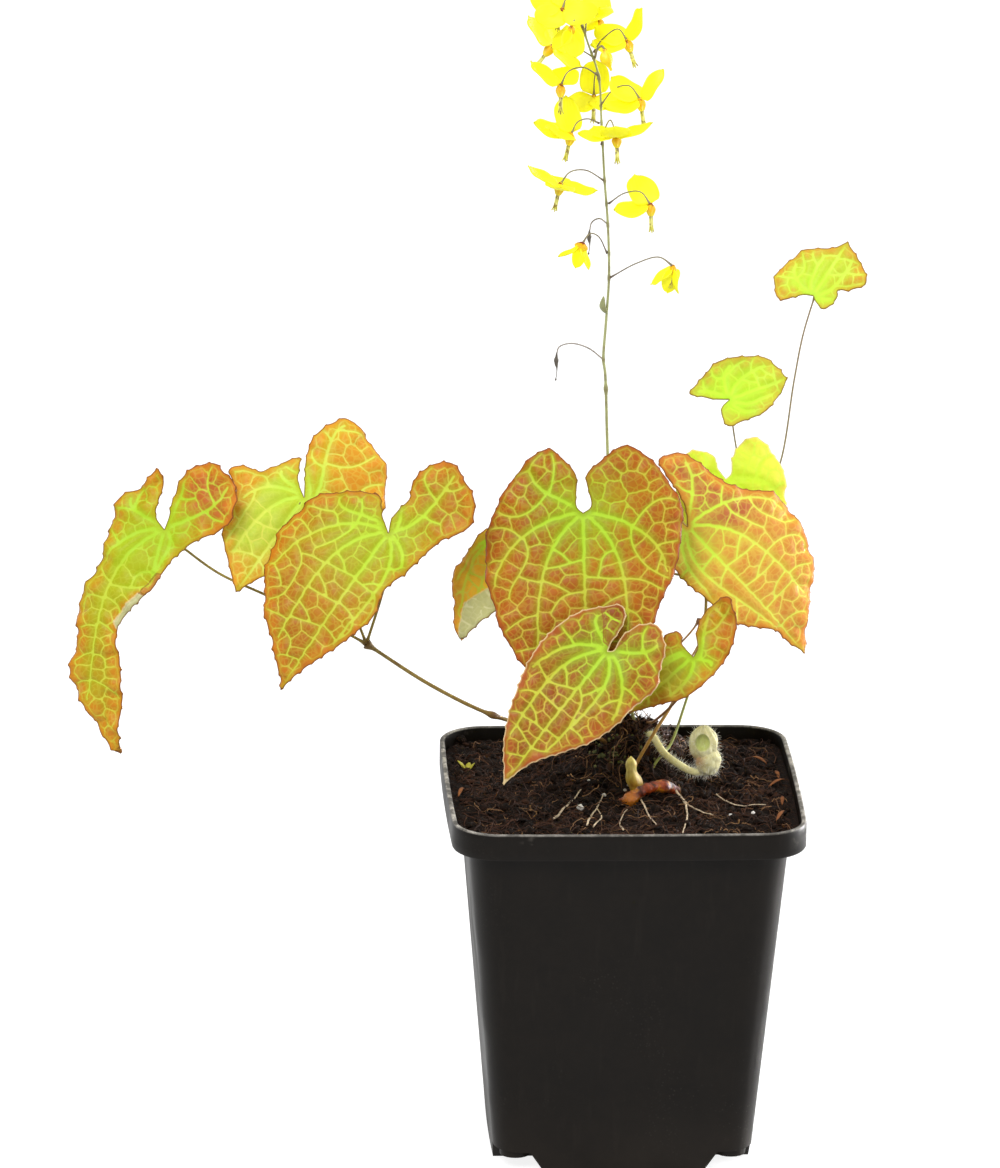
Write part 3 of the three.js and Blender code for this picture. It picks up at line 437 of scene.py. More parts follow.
def make_group(name: str, takes: dict[str, object], gives: dict[str, str],
               fill: Callable[[Nodes, bpy.types.NodeOutputs], dict[str, Socket]]) -> None:
    """Makes a shader node group with named inputs and outputs.

    Args:
        name: The name of the effect.
        takes: Inputs and their usual values.
        gives: Outputs and their kinds.
        fill: Adds the nodes and returns a socket for each output.
    """
    tree = bpy.data.node_groups.new(name, "ShaderNodeTree")
    for key, usual in takes.items():
        kind = {4: "Color", 3: "Vector"}[len(usual)] if isinstance(usual, tuple) else "Float"
        socket = tree.interface.new_socket(key, in_out="INPUT", socket_type="NodeSocket" + kind)
        socket.default_value = usual
    for key, kind in gives.items():
        tree.interface.new_socket(key, in_out="OUTPUT", socket_type="NodeSocket" + kind)
    nodes = Nodes(tree)
    nodes.new("NodeGroupOutput", fill(nodes, nodes.new("NodeGroupInput").outputs))


def mottle(nodes: Nodes, given: bpy.types.NodeOutputs) -> dict[str, Socket]:
    """Cloudy change of colour and lightness over a surface."""
    aside = nodes.new("VectorMath", {0: given["Place"], 1: (7.3, 2.9, 5.1)}, operation="ADD").outputs[0]
    broad = nodes.noise(given["Place"], given["Scale"], 3.0, 0.55)
    fine = nodes.noise(aside, nodes.times(given["Scale"], 4.7))
    spread = nodes.fade(nodes.plus(nodes.times(broad, 0.65), nodes.times(fine, 0.35)), 0.36, 0.64)
    share = nodes.math("MULTIPLY", spread, given["Amount"], clamp=True)
    return {"Colour": nodes.mix(share, given["Colour"], given["Other"])}


def veins(nodes: Nodes, given: bpy.types.NodeOutputs) -> dict[str, Socket]:
    """Lines and glow of a leaf's veins, from the distances that the blade carries."""
    rib, net, hub = (nodes.value(name) for name in ("rib", "net", "hub"))
    near = nodes.fade(nodes.math("DIVIDE", hub, given["Reach"]), 0.0, 1.0, 1.0, 0.0)
    by_rib = nodes.times(nodes.fade(rib, 0.6, 6.5, 1.0, 0.0), nodes.plus(nodes.times(near, 0.62), 0.38))
    by_net = nodes.times(nodes.fade(net, 0.6, 5.0, 1.0, 0.0), nodes.plus(nodes.times(near, 0.42), 0.16))
    glow = nodes.most(nodes.most(by_rib, by_net), nodes.times(nodes.math("POWER", near, 2.6), 0.9))
    return {"Line": nodes.fade(rib, 0.35, 1.35, 1.0, 0.0), "Second": nodes.fade(net, 0.3, 1.5, 1.0, 0.0),
            "Glow": glow, "Near": near}


def make_groups() -> None:
    """Makes the shared shader effects."""
    grey, darker = (0.5, 0.5, 0.5, 1.0), (0.4, 0.4, 0.4, 1.0)
    takes = {"Place": (0.0, 0.0, 0.0), "Scale": 100.0, "Amount": 1.0, "Colour": grey, "Other": darker}
    make_group("mottle", takes, {"Colour": "Color"}, mottle)
    make_group("veins", {"Reach": 25.0}, dict.fromkeys(("Line", "Second", "Glow", "Near"), "Float"), veins)


# Leaflets


class Edge(Enum):
    """How the margin of a leaflet is coloured."""

    DARK = "dark"
    PALE = "pale"


@dataclass(frozen=True)
class Bend:
    """What lies beyond a line through a point turns about it."""

    at: Pair
    toward: float
    radius: float
    most: float
    lift: float


@dataclass(frozen=True)
class Tint:
    """A patch of the blade that leans to green, or to blush where it is negative."""

    at: Pair
    reach: float
    amount: float


@dataclass(frozen=True)
class BladeFinish:
    """The colours of a leaflet's upper face, on a screen from 0 to 255."""

    ground: Tone = (184, 106, 14)
    deep: Tone = (160, 84, 10)
    rim: Tone = (178, 86, 22)
    leafy: Tone = (150, 172, 30)
    blush: Tone = (214, 120, 72)
    glow: Tone = (150, 184, 20)
    vein: Tone = (180, 220, 44)
    far_vein: Tone = (212, 196, 66)
    reach: float = 26.0
    web: float = 0.5
    # fold: the colour of painted shade laid over turned-over parts.
    fold: Tone = (140, 66, 20)
    edge: Edge = Edge.DARK

    def material(self, name: str) -> Material:
        """The upper face of a leaflet: marbled ground, glow and veins, with painted shade on shaded folds and
        painted highlight and shade lines along the edges of turned parts.
        """
        made, nodes = new_material(name)
        flat = nodes.new("UVMap", uv_map="Blade").outputs[0]
        lines = nodes.group("veins", Reach=self.reach)
        ground = nodes.mottle(flat, 42.0, 0.85, self.ground, self.deep)
        tint = nodes.value("tint")
        ground = nodes.paint(ground, (nodes.fade(tint, 0.0, 1.0), self.leafy),
                             (nodes.fade(nodes.times(tint, -1.0), 0.0, 1.0), self.blush))
        margin = nodes.value("margin")
        wander = nodes.times(nodes.noise(flat, 30.0), 3.0)
        rim = nodes.fade(nodes.math("SUBTRACT", margin, wander), 0.0, 2.6, 0.75, 0.0)
        ground = nodes.mix(rim, ground, self.rim)
        dark, pale = nodes.value("dark"), nodes.value("pale")
        fine = nodes.cells(flat, 620.0)
        web = nodes.times(nodes.fade(fine, 0.02, 0.15, 1.0, 0.0), 0.4 * self.web,
                          nodes.fade(margin, 0.6, 1.8))
        # On a shaded fold the glow is weakened and the ground turns to the fold colour: painted shade.
        glow = nodes.times(lines["Glow"], nodes.fade(dark, -0.1, 0.5, 0.92, 0.15),
                           nodes.fade(tint, -1.0, 0.0, 0.4, 1.0))
        ground = nodes.mix(nodes.fade(dark, -0.1, 0.5, 0.0, 0.85), ground, self.fold)
        colour = nodes.paint(ground, (glow, self.glow), (nodes.fade(pale, -0.1, 0.15), (192, 190, 132)))
        far = nodes.paint(self.far_vein, (lines["Near"], self.vein),
                          (nodes.fade(pale, -0.1, 0.15), (222, 218, 172)))
        second = nodes.times(lines["Second"], nodes.fade(margin, 0.5, 2.2, 0.25, 1.0), 0.72)
        main = nodes.times(lines["Line"], nodes.fade(margin, 0.3, 2.0), 0.92,
                           nodes.fade(pale, -0.1, 0.15, 1.0, 0.0))
        bright = nodes.mix(nodes.fade(lines["Near"], 0.0, 0.7, 0.35, 1.0), self.far_vein, self.vein)
        colour = nodes.paint(colour, (web, far), (second, far), (main, bright))
        # Along the edges of turned parts: a painted highlight line, and a painted shade line at the border of
        # a shaded fold.
        turned = nodes.math("MINIMUM", nodes.math("ABSOLUTE", dark), nodes.math("ABSOLUTE", pale))
        outline = nodes.mix(nodes.fade(dark, -0.6, -0.4), (228, 204, 146), (150, 84, 36))
        last = (122, 62, 28) if self.edge is Edge.DARK else (238, 214, 160)
        colour = nodes.paint(colour, (nodes.fade(turned, 0.08, 0.32, 0.7, 0.0), outline),
                             (nodes.fade(margin, 0.05, 0.44, 0.8, 0.0), last))
        rough = nodes.fade(nodes.noise(flat, 120.0), 0.3, 0.7, 0.46, 0.58)
        grain = nodes.plus(nodes.times(nodes.fade(fine, 0.0, 0.2), 0.6), nodes.noise(flat, 700.0))
        nodes.surface(colour, rough, nodes.bump(grain, 0.25, 0.00012), 0.25)
        return made

    def underside(self, name: str) -> Material:
        """The lower face: pale grey-green with raised veins."""
        made, nodes = new_material(name)
        flat = nodes.new("UVMap", uv_map="Blade").outputs[0]
        lines = nodes.group("veins", Reach=self.reach)
        pale = blend(self.leafy, (170, 172, 124), 0.5)
        warm = blend(self.ground, (170, 150, 112), 0.58)
        far = blend(self.vein, (196, 192, 140), 0.55)
        ground = nodes.mottle(flat, 36.0, 0.7, pale, warm)
        colour = nodes.paint(ground, (nodes.times(lines["Second"], 0.6), far), (lines["Line"], far))
        nodes.surface(colour, 0.62, nodes.bump(nodes.noise(flat, 600.0), 0.3, 0.0001), 0.3)
        return made


@dataclass
class Leaflet:
    """One leaflet: a thin toothed blade with its net of veins."""

    name: str
    notch: Triple
    tip: Triple
    face: Triple
    left: Sequence[Pair]
    right: Sequence[Pair]
    bends: Sequence[Bend]
    finish: BladeFinish = field(default_factory=BladeFinish)
    slot: str = "marbled_leaf"
    tints: Sequence[Tint] = ()
    wave: float = 0.55
    teeth: float = 0.32
    cell: float = 4.8
    thick: float = 0.42
    spacing: float = 0.72
    ends: Sequence[float] = (0.14, 0.27, 0.6, 0.85)
    turned_pale: Sequence[Pair] = ()
    # turned_shaded: outlines of turned-over parts that are painted darker as shade.
    turned_shaded: Sequence[Pair] = ()

    def __post_init__(self) -> None:
        """Works out the plane of the blade and its edge, and seeds its random draws."""
        self.draw = np.random.default_rng(sum(ord(letter) for letter in self.name) * 7)
        notch, tip, face = (np.array(row, dtype=float) for row in (self.notch, self.tip, self.face))
        self.origin = notch
        self.length = float(np.linalg.norm(tip - notch))
        self.along = (tip - notch) / self.length
        self.up = unit(face - self.along * face.dot(self.along))
        self.across = np.cross(self.up, self.along)
        left = smooth_path([(0, 0), *self.left, (self.length, 0)])
        right = smooth_path([(0, 0), *self.right, (self.length, 0)])
        self.sides = [resample(left, 0.4), resample(right, 0.4)]
        self.smooth_edge = np.vstack([self.sides[0], self.sides[1][-2:0:-1]])

    def fold(self, flat: Array, height: Array) -> Array:
        """The place in space of points of the flat blade, at heights above it.

        Args:
            flat: Points along and across the blade.
            height: How far each is above the middle of the blade.

        Returns:
            Their places, before the plant is settled in its pot.
        """
        along, across, rise = flat[:, 0].copy(), flat[:, 1].copy(), np.zeros(len(flat))
        normal = np.tile([0.0, 0.0, 1.0], (len(flat), 1))
        for bend in self.bends:
            nu, nv = direction(bend.toward)
            beyond = (flat[:, 0] - bend.at[0]) * nu + (flat[:, 1] - bend.at[1]) * nv
            beyond = np.maximum(beyond, 0)
            angle = np.minimum(beyond / bend.radius, math.radians(bend.most))
            rest = beyond - angle * bend.radius
            run = bend.radius * np.sin(angle) + rest * np.cos(angle)
            climb = bend.radius * (1 - np.cos(angle)) + rest * np.sin(angle)
            along += nu * (run - beyond)
            across += nv * (run - beyond)
            rise += bend.lift * climb
            lean = -bend.lift * np.tan(angle)
            normal[:, 0] += nu * lean
            normal[:, 1] += nv * lean
        normal = unit(normal)
        at = np.stack([along, across, rise], axis=1) + normal * height[:, None]
        return self.origin + at @ np.stack([self.along, self.across, self.up])

    def toothed_edge(self) -> Array:
        """The outline with its small spiny teeth, which point outwards and a little to the tip."""
        edge = self.smooth_edge
        run = lengths(np.vstack([edge, edge[:1]]))[:-1]
        ahead = unit(np.roll(edge, -1, axis=0) - np.roll(edge, 1, axis=0))
        out = np.stack([-ahead[:, 1], ahead[:, 0]], axis=1)
        if polygon_area(edge) > 0:
            out = -out
        move, shift = np.zeros((2, len(edge)))
        at = 0.0
        total = run[-1]
        while at < total - 1.0:
            tall = self.teeth * self.draw.uniform(0.35, 1.2)
            gap = self.draw.uniform(2.4, 4.6)
            d = np.abs(run - at)
            spike = np.clip(1 - d / 0.75, 0, 1)
            move += tall * spike
            between = np.clip((run - at) / gap, 0, 1)
            move -= 0.28 * self.teeth * np.sin(between * math.pi) * (run > at) * (run < at + gap)
            shift += 0.35 * spike * np.where(np.arange(len(edge)) < len(self.sides[0]), 1, -1)
            at += gap
        open_notch = np.clip((np.linalg.norm(edge, axis=1) - 2.0) / 3.0, 0, 1)
        return edge + out * (move * open_notch)[:, None] + ahead * (shift * open_notch * 0.6)[:, None]

    def ribs(self) -> list[Array]:
        """The main veins, as paths from the notch: the midrib and pairs that arch to the tip."""
        paths = [np.array([(0.2, 0), (self.length * 0.5, 0), (self.length - 1.0, 0)], dtype=float)]
        starts = (160, 126, 92, 62)
        finals = (178, 176, 2, -4)
        for sign, side in zip((-1, 1), self.sides):
            run = lengths(side)
            for share, start, final in zip(self.ends, starts, finals):
                target = np.array([np.interp(share * run[-1], run, side[:, k]) for k in range(2)])
                target = target * (1 - 2.2 / max(np.linalg.norm(target), 6))
                reach = np.linalg.norm(target)
                if reach < 5:
                    continue
                lean = math.atan2(target[1] * sign, target[0])
                begin = lean + 0.85 * (math.radians(start) - lean)
                close = lean + 0.9 * (math.radians(final) - lean)
                first = np.array([math.cos(begin), math.sin(begin) * sign]) * reach * 0.38
                last = target - np.array([math.cos(close), math.sin(close) * sign]) * reach * 0.34
                t = np.linspace(0.02, 1, 24)[:, None]
                path = 3 * (1 - t) ** 2 * t * first + 3 * (1 - t) * t**2 * last + t**3 * target
                inside = within(path, self.smooth_edge)
                stop = len(path) if inside.all() else int(np.argmin(inside))
                if stop > 5:
                    paths.append(path[:stop])
        return [resample(path if len(path) > 3 else smooth_path(path), 0.55) for path in paths]

    def seeds(self, ribs: list[Array]) -> Array:
        """The middles of the leaf's cells, in pairs over each main vein so that a border lies on it."""
        kept: list[Array] = []
        draw = self.draw

        def free(point: Array, gap: float) -> bool:
            """Whether a point lies in the blade and far enough from the middles so far."""
            if not within(point[None], self.smooth_edge)[0]:
                return False
            return not kept or np.min(np.linalg.norm(np.array(kept) - point, axis=1)) > gap

        for number, rib in enumerate(ribs):
            ahead = unit(np.gradient(rib, axis=0))
            side = np.stack([-ahead[:, 1], ahead[:, 0]], axis=1)
            others = np.vstack([row for k, row in enumerate(ribs) if k != number])
            k = int(draw.uniform(5, 8))
            while k < len(rib) - 2:
                reach = 0.42 * min(self.cell, np.min(np.linalg.norm(others - rib[k], axis=1)))
                pair = [rib[k] + side[k] * reach * sign for sign in (-1, 1)]
                if reach > 0.8 and all(free(point, max(1.3 * reach, 1.4)) for point in pair):
                    kept.extend(pair)
                k += max(3, int(max(reach * 2.1, 2.4) / 0.55 * draw.uniform(0.85, 1.15)))
        edge = resample(np.vstack([self.smooth_edge, self.smooth_edge[:1]]), 0.8)
        ahead = unit(np.gradient(edge, axis=0))
        turn = 1.0 if polygon_area(edge) > 0 else -1.0
        inward = np.stack([-ahead[:, 1], ahead[:, 0]], axis=1) * turn
        ghosts = []
        step = 0
        while step < len(edge) - 2:
            point = edge[step] + inward[step] * draw.uniform(2.3, 2.9)
            ghosts.append(edge[step] - inward[step] * 0.5)
            if free(point, 2.2):
                kept.append(point)
            step += int(draw.uniform(3.6, 5.2))
        low, high = edge.min(axis=0), edge.max(axis=0)
        for point in low + (high - low) * draw.random((3000, 2)):
            inset = np.min(np.linalg.norm(edge - point, axis=1))
            if inset > 2.0 and free(point, self.cell * (0.6 + 0.24 * min(inset / 9, 1))):
                kept.append(point)
        return np.array([*kept, *ghosts])

    def comb(self, ribs: list[Array]) -> tuple[Array, dict[int, set[int]], Array]:
        """The corners of the cells, as in a honeycomb over the blade.

        Args:
            ribs: The main veins.

        Returns:
            The corners, the corners that each is joined to, and the place along all the main
            veins together of each corner that lies on one, below nothing for the others.
        """
        places, faces, _ = triangulate(self.seeds(ribs))
        first = places[faces[:, 0]]
        b, c = places[faces[:, 1]] - first, places[faces[:, 2]] - first
        twice = 2 * (b[:, 0] * c[:, 1] - b[:, 1] * c[:, 0])
        bb, cc = np.sum(b**2, axis=1), np.sum(c**2, axis=1)
        away = np.stack([c[:, 1] * bb - b[:, 1] * cc, b[:, 0] * cc - c[:, 0] * bb], axis=1) / twice[:, None]
        centre = (b + c) / 3
        wild = np.linalg.norm(away - centre, axis=1) > 0.7 * self.cell
        corners = first + np.where(wild[:, None], centre, 0.65 * away + 0.35 * centre)
        rail = np.vstack(ribs)
        gaps = np.linalg.norm(corners[:, None] - rail[None], axis=2)
        home = np.where(gaps.min(axis=1) < 0.9, gaps.argmin(axis=1), -1)
        corners[home >= 0] = rail[home[home >= 0]]
        shared: dict[tuple[int, int], list[int]] = {}
        for number, face in enumerate(faces.tolist()):
            for a, b in zip(face, face[1:] + face[:1]):
                shared.setdefault((min(a, b), max(a, b)), []).append(number)
        inside = within(corners, self.smooth_edge)
        joined: dict[int, set[int]] = {k: set() for k in range(len(corners))}
        for pair in shared.values():
            if len(pair) < 2 or not inside[pair].all() or (home[pair] >= 0).all():
                continue
            joined[pair[0]].add(pair[1])
            joined[pair[1]].add(pair[0])
        return corners, joined, home

    def branches(self, ribs: list[Array], corners: Array, joined: dict[int, set[int]],
                 home: Array) -> list[list[int]]:
        """Side veins, which leave a main vein, follow the cells' borders and bend round to the tip.

        Args:
            ribs: The main veins.
            corners: The corners of the cells.
            joined: The corners that each is joined to.
            home: The place along the main veins of each corner that lies on one.

        Returns:
            The corners that each side vein runs through.
        """
        found: list[list[int]] = []
        used: set[int] = set()
        start = 0
        for rib in ribs:
            ahead = unit(np.gradient(rib, axis=0))
            on_rib = np.where((home >= start) & (home < start + len(rib)))[0]
            on_rib = on_rib[np.argsort(home[on_rib])]
            for sign in (-1, 1):
                last = start + 0.1 * len(rib)
                for foot in on_rib.tolist():
                    if (home[foot] - last) * 0.55 < self.cell * 1.35:
                        continue
                    way = ahead[home[foot] - start]
                    heading = math.atan2(way[1], way[0]) + sign * math.radians(66)
                    run = self.follow(foot, heading, -sign * math.radians(8), corners, joined, used, home)
                    if len(run) > 2:
                        found.append(run)
                        used.update(run[1:])
                        last = home[foot]
            start += len(rib)
        for run in found:
            for _ in range(2):
                row = corners[run]
                corners[run[1:-1]] = 0.5 * row[1:-1] + 0.25 * (row[:-2] + row[2:])
        return found

    def follow(self, foot: int, heading: float, turn: float, corners: Array, joined: dict[int, set[int]],
               used: set[int], home: Array) -> list[int]:
        """One side vein from its foot: the run of corners that keeps best to a turning heading."""
        run = [foot]
        while len(run) < 9 and (len(run) == 1 or (run[-1] not in used and home[run[-1]] < 0)):
            ways = [k for k in sorted(joined[run[-1]]) if k not in run]
            if not ways:
                break
            aim = np.array([math.cos(heading), math.sin(heading)])
            scores = unit(corners[ways] - corners[run[-1]]) @ aim
            if scores.max() < 0.5:
                break
            run.append(ways[int(scores.argmax())])
            heading += turn
        return run

    def veins(self, ribs: list[Array]) -> tuple[list[Array], list[Array]]:
        """The side veins and the finer net, as paths over the blade."""
        corners, joined, home = self.comb(ribs)
        runs = self.branches(ribs, corners, joined, home)
        taken = {tuple(sorted(pair)) for run in runs for pair in zip(run[:-1], run[1:])}
        sides = [resample(smooth_path(corners[run]), 0.55) for run in runs]
        free = [[a, b] for a in joined for b in joined[a] if a < b and (a, b) not in taken]
        borders = [resample(corners[pair], 0.6) for pair in free]
        arches = [np.sin(np.linspace(0, math.pi, len(path)))[:, None] for path in borders]
        return sides, [path + self.wander(path) * arch for path, arch in zip(borders, arches)]

    def wander(self, at: Array) -> Array:
        """The slight sideways wander of the veins at each point of the blade."""
        return 0.34 * noise_rows(at * 0.95, self.length, self.length + 9)

    def build(self) -> Piece:
        """Makes the leaflet with its net in the mesh, and dresses it."""
        ribs = [rib + self.wander(rib) * 0.5 for rib in self.ribs()]
        sides, borders = self.veins(ribs)
        edge = self.toothed_edge()
        turned = [[*row, row[0]] for row in (self.turned_pale, self.turned_shaded) if row]
        folds = [resample(np.array(row, dtype=float), 0.5) for row in turned]
        points, triangles, rim = blade_mesh(edge, [*ribs, *sides, *borders, *folds], self.spacing)
        ranks = ((ribs, 0.54, 0.22), (sides, 0.34, 0.18), (borders, 0.2, 0.18))
        rib_gap, side_gap, net_gap = (vein_gap(points, *rank) for rank in ranks)
        rib_gap = np.minimum(rib_gap, 1.35 * side_gap)
        net_gap = np.minimum(side_gap, net_gap)
        # dark: how deep each point lies in a shaded fold, the mask of its painted shade.
        pale, dark = (depth_in(points, row) for row in (self.turned_pale, self.turned_shaded))
        margin, run = edge_gap(points, edge)
        hub = np.linalg.norm(points, axis=1)
        tint = np.zeros(len(points))
        for spot in self.tints:
            apart = np.sum((points - spot.at) ** 2, axis=1)
            tint += spot.amount * np.exp(-apart / (2 * spot.reach**2))
        tint = tint * (1 + 0.35 * hash_noise(points * 0.25, 3))
        nearest_vein = np.minimum(rib_gap * 0.4, net_gap * 0.25)
        swell = 0.34 * (1 - bell(nearest_vein, 0, 1.1)) * np.clip(margin / 2.5, 0.15, 1)
        ruffle = np.sin(run * 0.52 + self.length) + 0.5 * np.sin(run * 1.13 + 2 * self.length)
        ruffle = ruffle * self.wave * bell(margin, 0, 4.5) * ramp(hub, 3, 9)
        middle = swell - 0.22 * bell(rib_gap, 0, 2.4) + ruffle + 0.35 * hash_noise(points * 0.16, self.length)
        middle = middle + 0.5 * ramp(np.maximum(pale, dark), 0, 0.6)
        half = 0.5 * self.thick * np.clip(0.45 + margin * 0.8, 0.45, 1)
        upper = settle(self.fold(points, middle + half))
        lower = settle(self.fold(points, middle - half - 0.12 * bell(rib_gap, 0, 1.6)))
        first = upper[triangles[0]]
        turned_over = np.dot(np.cross(first[1] - first[0], first[2] - first[0]), self.up) < 0
        way = -1 if turned_over else 1
        values = {"rib": rib_gap, "net": net_gap, "margin": margin, "hub": hub, "tint": tint,
                  "pale": pale, "dark": dark}
        shape, count = Shape(), len(points)
        shape.add(upper, triangles[:, ::way], 0, **values)
        shape.add(lower, triangles[:, ::-way], 1, **values)
        walls = [(a, a + count, b + count, b)[::way] for a, b in zip(rim, rim[1:] + rim[:1])]
        shape.faces.extend(walls)
        shape.finish.extend([0] * len(walls))
        finishes = [self.finish.material(f"{self.name}_upper"), self.finish.underside(f"{self.name}_under")]
        piece = shape.build(self.name + "_blade", finishes)
        layer = piece.data.uv_layers.new(name="Blade")
        corners = np.zeros(len(piece.data.loops), dtype=np.int64)
        piece.data.loops.foreach_get("vertex_index", corners)
        layer.data.foreach_set("uv", (np.vstack([points, points]) * MM)[corners].ravel())
        return place(piece, self.slot, self.name)


def polygon_area(points: Array) -> float:
    """The signed area of a closed outline."""
    x, y = points[:, 0], points[:, 1]
    return float(0.5 * np.sum(x * np.roll(y, -1) - np.roll(x, -1) * y))


def within(points: Array, outline: Array) -> Array:
    """Which points lie inside a closed outline."""
    x, y = points[:, 0][:, None], points[:, 1][:, None]
    ax, ay = outline[:, 0], outline[:, 1]
    bx, by = np.roll(ax, -1), np.roll(ay, -1)
    spans = (ay > y) != (by > y)
    level = np.where(by == ay, 1e-9, by - ay)
    left = x < (bx - ax) * (y - ay) / level + ax
    return (spans & left).sum(axis=1) % 2 == 1


def depth_in(points: Array, outline: Sequence[Pair]) -> Array:
    """How far inside a closed outline each point lies, below nothing where it is outside."""
    if not outline:
        return np.full(len(points), -9.0)
    closed = resample(np.array([*outline, outline[0]], dtype=float), 0.3)
    gap = np.min(np.linalg.norm(points[:, None] - closed[None], axis=2), axis=1)
    return np.where(within(points, closed[:-1]), gap, -gap)


def search(points: Array) -> kdtree.KDTree:
    """A search tree of points in the plane."""
    tree = kdtree.KDTree(len(points))
    for k, point in enumerate(points):
        tree.insert((*point, 0.0), k)
    tree.balance()
    return tree


def nearest(points: Array, starts: Array, ends: Array, tries: int) -> tuple[Array, Array, Array, Array]:
    """The nearest of a set of straight pieces to each point.

    Args:
        points: The points.
        starts: Where the pieces start.
        ends: Where they end.
        tries: How many pieces are tried for each point.

    Returns:
        The distances, the numbers of the pieces, the shares along them and the feet.
    """
    tree = search((starts + ends) / 2)
    near = np.array([[hit[1] for hit in tree.find_n((*point, 0.0), tries)] for point in points])
    way = ends[near] - starts[near]
    share = np.sum((points[:, None] - starts[near]) * way, axis=2) / np.maximum(np.sum(way**2, axis=2), 1e-9)
    share = np.clip(share, 0, 1)
    foot = starts[near] + way * share[..., None]
    apart = np.linalg.norm(points[:, None] - foot, axis=2)
    best = np.arange(len(points)), np.argmin(apart, axis=1)
    return apart[best], near[best], share[best], foot[best]


def vein_gap(points: Array, paths: list[Array], thick: float, thin: float) -> Array:
    """The distance of each point from the nearest vein of one rank, in half-widths of it.

    Args:
        points: The points.
        paths: The veins.
        thick: Their half-width at the notch.
        thin: Their half-width far from it.

    Returns:
        The distances.
    """
    starts, ends = np.vstack([path[:-1] for path in paths]), np.vstack([path[1:] for path in paths])
    apart, _, _, foot = nearest(points, starts, ends, min(4, len(starts)))
    fade = np.clip(np.linalg.norm(foot, axis=1) / 40.0, 0, 1)
    return apart / (thick * (1 - fade) + thin * fade)


def edge_gap(points: Array, edge: Array) -> tuple[Array, Array]:
    """The distance of each point from the margin, and how far along the margin its foot is."""
    loop = np.vstack([edge, edge[:1]])
    run = lengths(loop)
    apart, start, share, _ = nearest(points, loop[:-1], loop[1:], 3)
    return apart, run[start] + share * (run[start + 1] - run[start])


def triangulate(points: Array, links: Sequence[tuple[int, int]] = ()) -> tuple[Array, Array, list]:
    """Triangles between points in the plane, with the given links kept, and where each point came from."""
    made = delaunay_2d_cdt([Vector(p) for p in points], list(links), [], 0, 1e-4, True)
    return np.array([p[:] for p in made[0]]), np.array([list(face) for face in made[2]]), made[3]


def blade_mesh(edge: Array, paths: Sequence[Array], spacing: float) -> tuple[Array, Array, list[int]]:
    """Triangles over the blade that follow its veins.

    Args:
        edge: The toothed outline.
        paths: The veins and the edges of turned parts.
        spacing: The distance between free points.

    Returns:
        The points, the triangles and the numbers of the outline's points in order.
    """
    rows = [edge]
    total = len(edge)
    links = [(k, (k + 1) % total) for k in range(total)]
    for path in paths:
        clear = np.min(np.linalg.norm(path[:, None] - edge[None, ::2], axis=2), axis=1) > 0.45
        clear &= within(path, edge)
        number = np.full(len(path), -1)
        number[clear] = total + np.arange(int(clear.sum()))
        rows.append(path[clear])
        total += int(clear.sum())
        links += [(int(a), int(b)) for a, b in zip(number, number[1:]) if a >= 0 and b >= 0]
    placed = np.vstack(rows)
    tree = search(placed)
    low, high = edge.min(axis=0), edge.max(axis=0)
    u = np.arange(low[0], high[0], spacing)
    v = np.arange(low[1], high[1], spacing * 0.866)
    grid = np.array([(a + (k % 2) * spacing / 2, b) for k, b in enumerate(v) for a in u])
    grid = grid + 0.12 * spacing * noise_rows(grid * 9.1, 1, 2)
    grid = [p for p in grid[within(grid, edge)] if tree.find((*p, 0.0))[2] > spacing * 0.5]
    points, triangles, sources = triangulate(np.vstack([placed, *grid]), links)
    triangles = triangles[within(points[triangles].mean(axis=1), edge)]
    home = {origin: k for k, origins in enumerate(sources) for origin in origins}
    rim = boundary_loop(triangles, home[0])
    used = np.unique(triangles)
    index = np.full(len(points), -1)
    index[used] = np.arange(len(used))
    return points[used], index[triangles], [int(index[k]) for k in rim]


def boundary_loop(triangles: Array, start: int) -> list[int]:
    """The points round the edge of a patch of triangles, in order."""
    following: dict[int, int] = {}
    edges = {(int(a), int(b)) for face in triangles for a, b in zip(face, np.roll(face, -1))}
    for a, b in edges:
        if (b, a) not in edges:
            following[a] = b
    loop = [start]
    while following[loop[-1]] != start:
        loop.append(following[loop[-1]])
    return loop


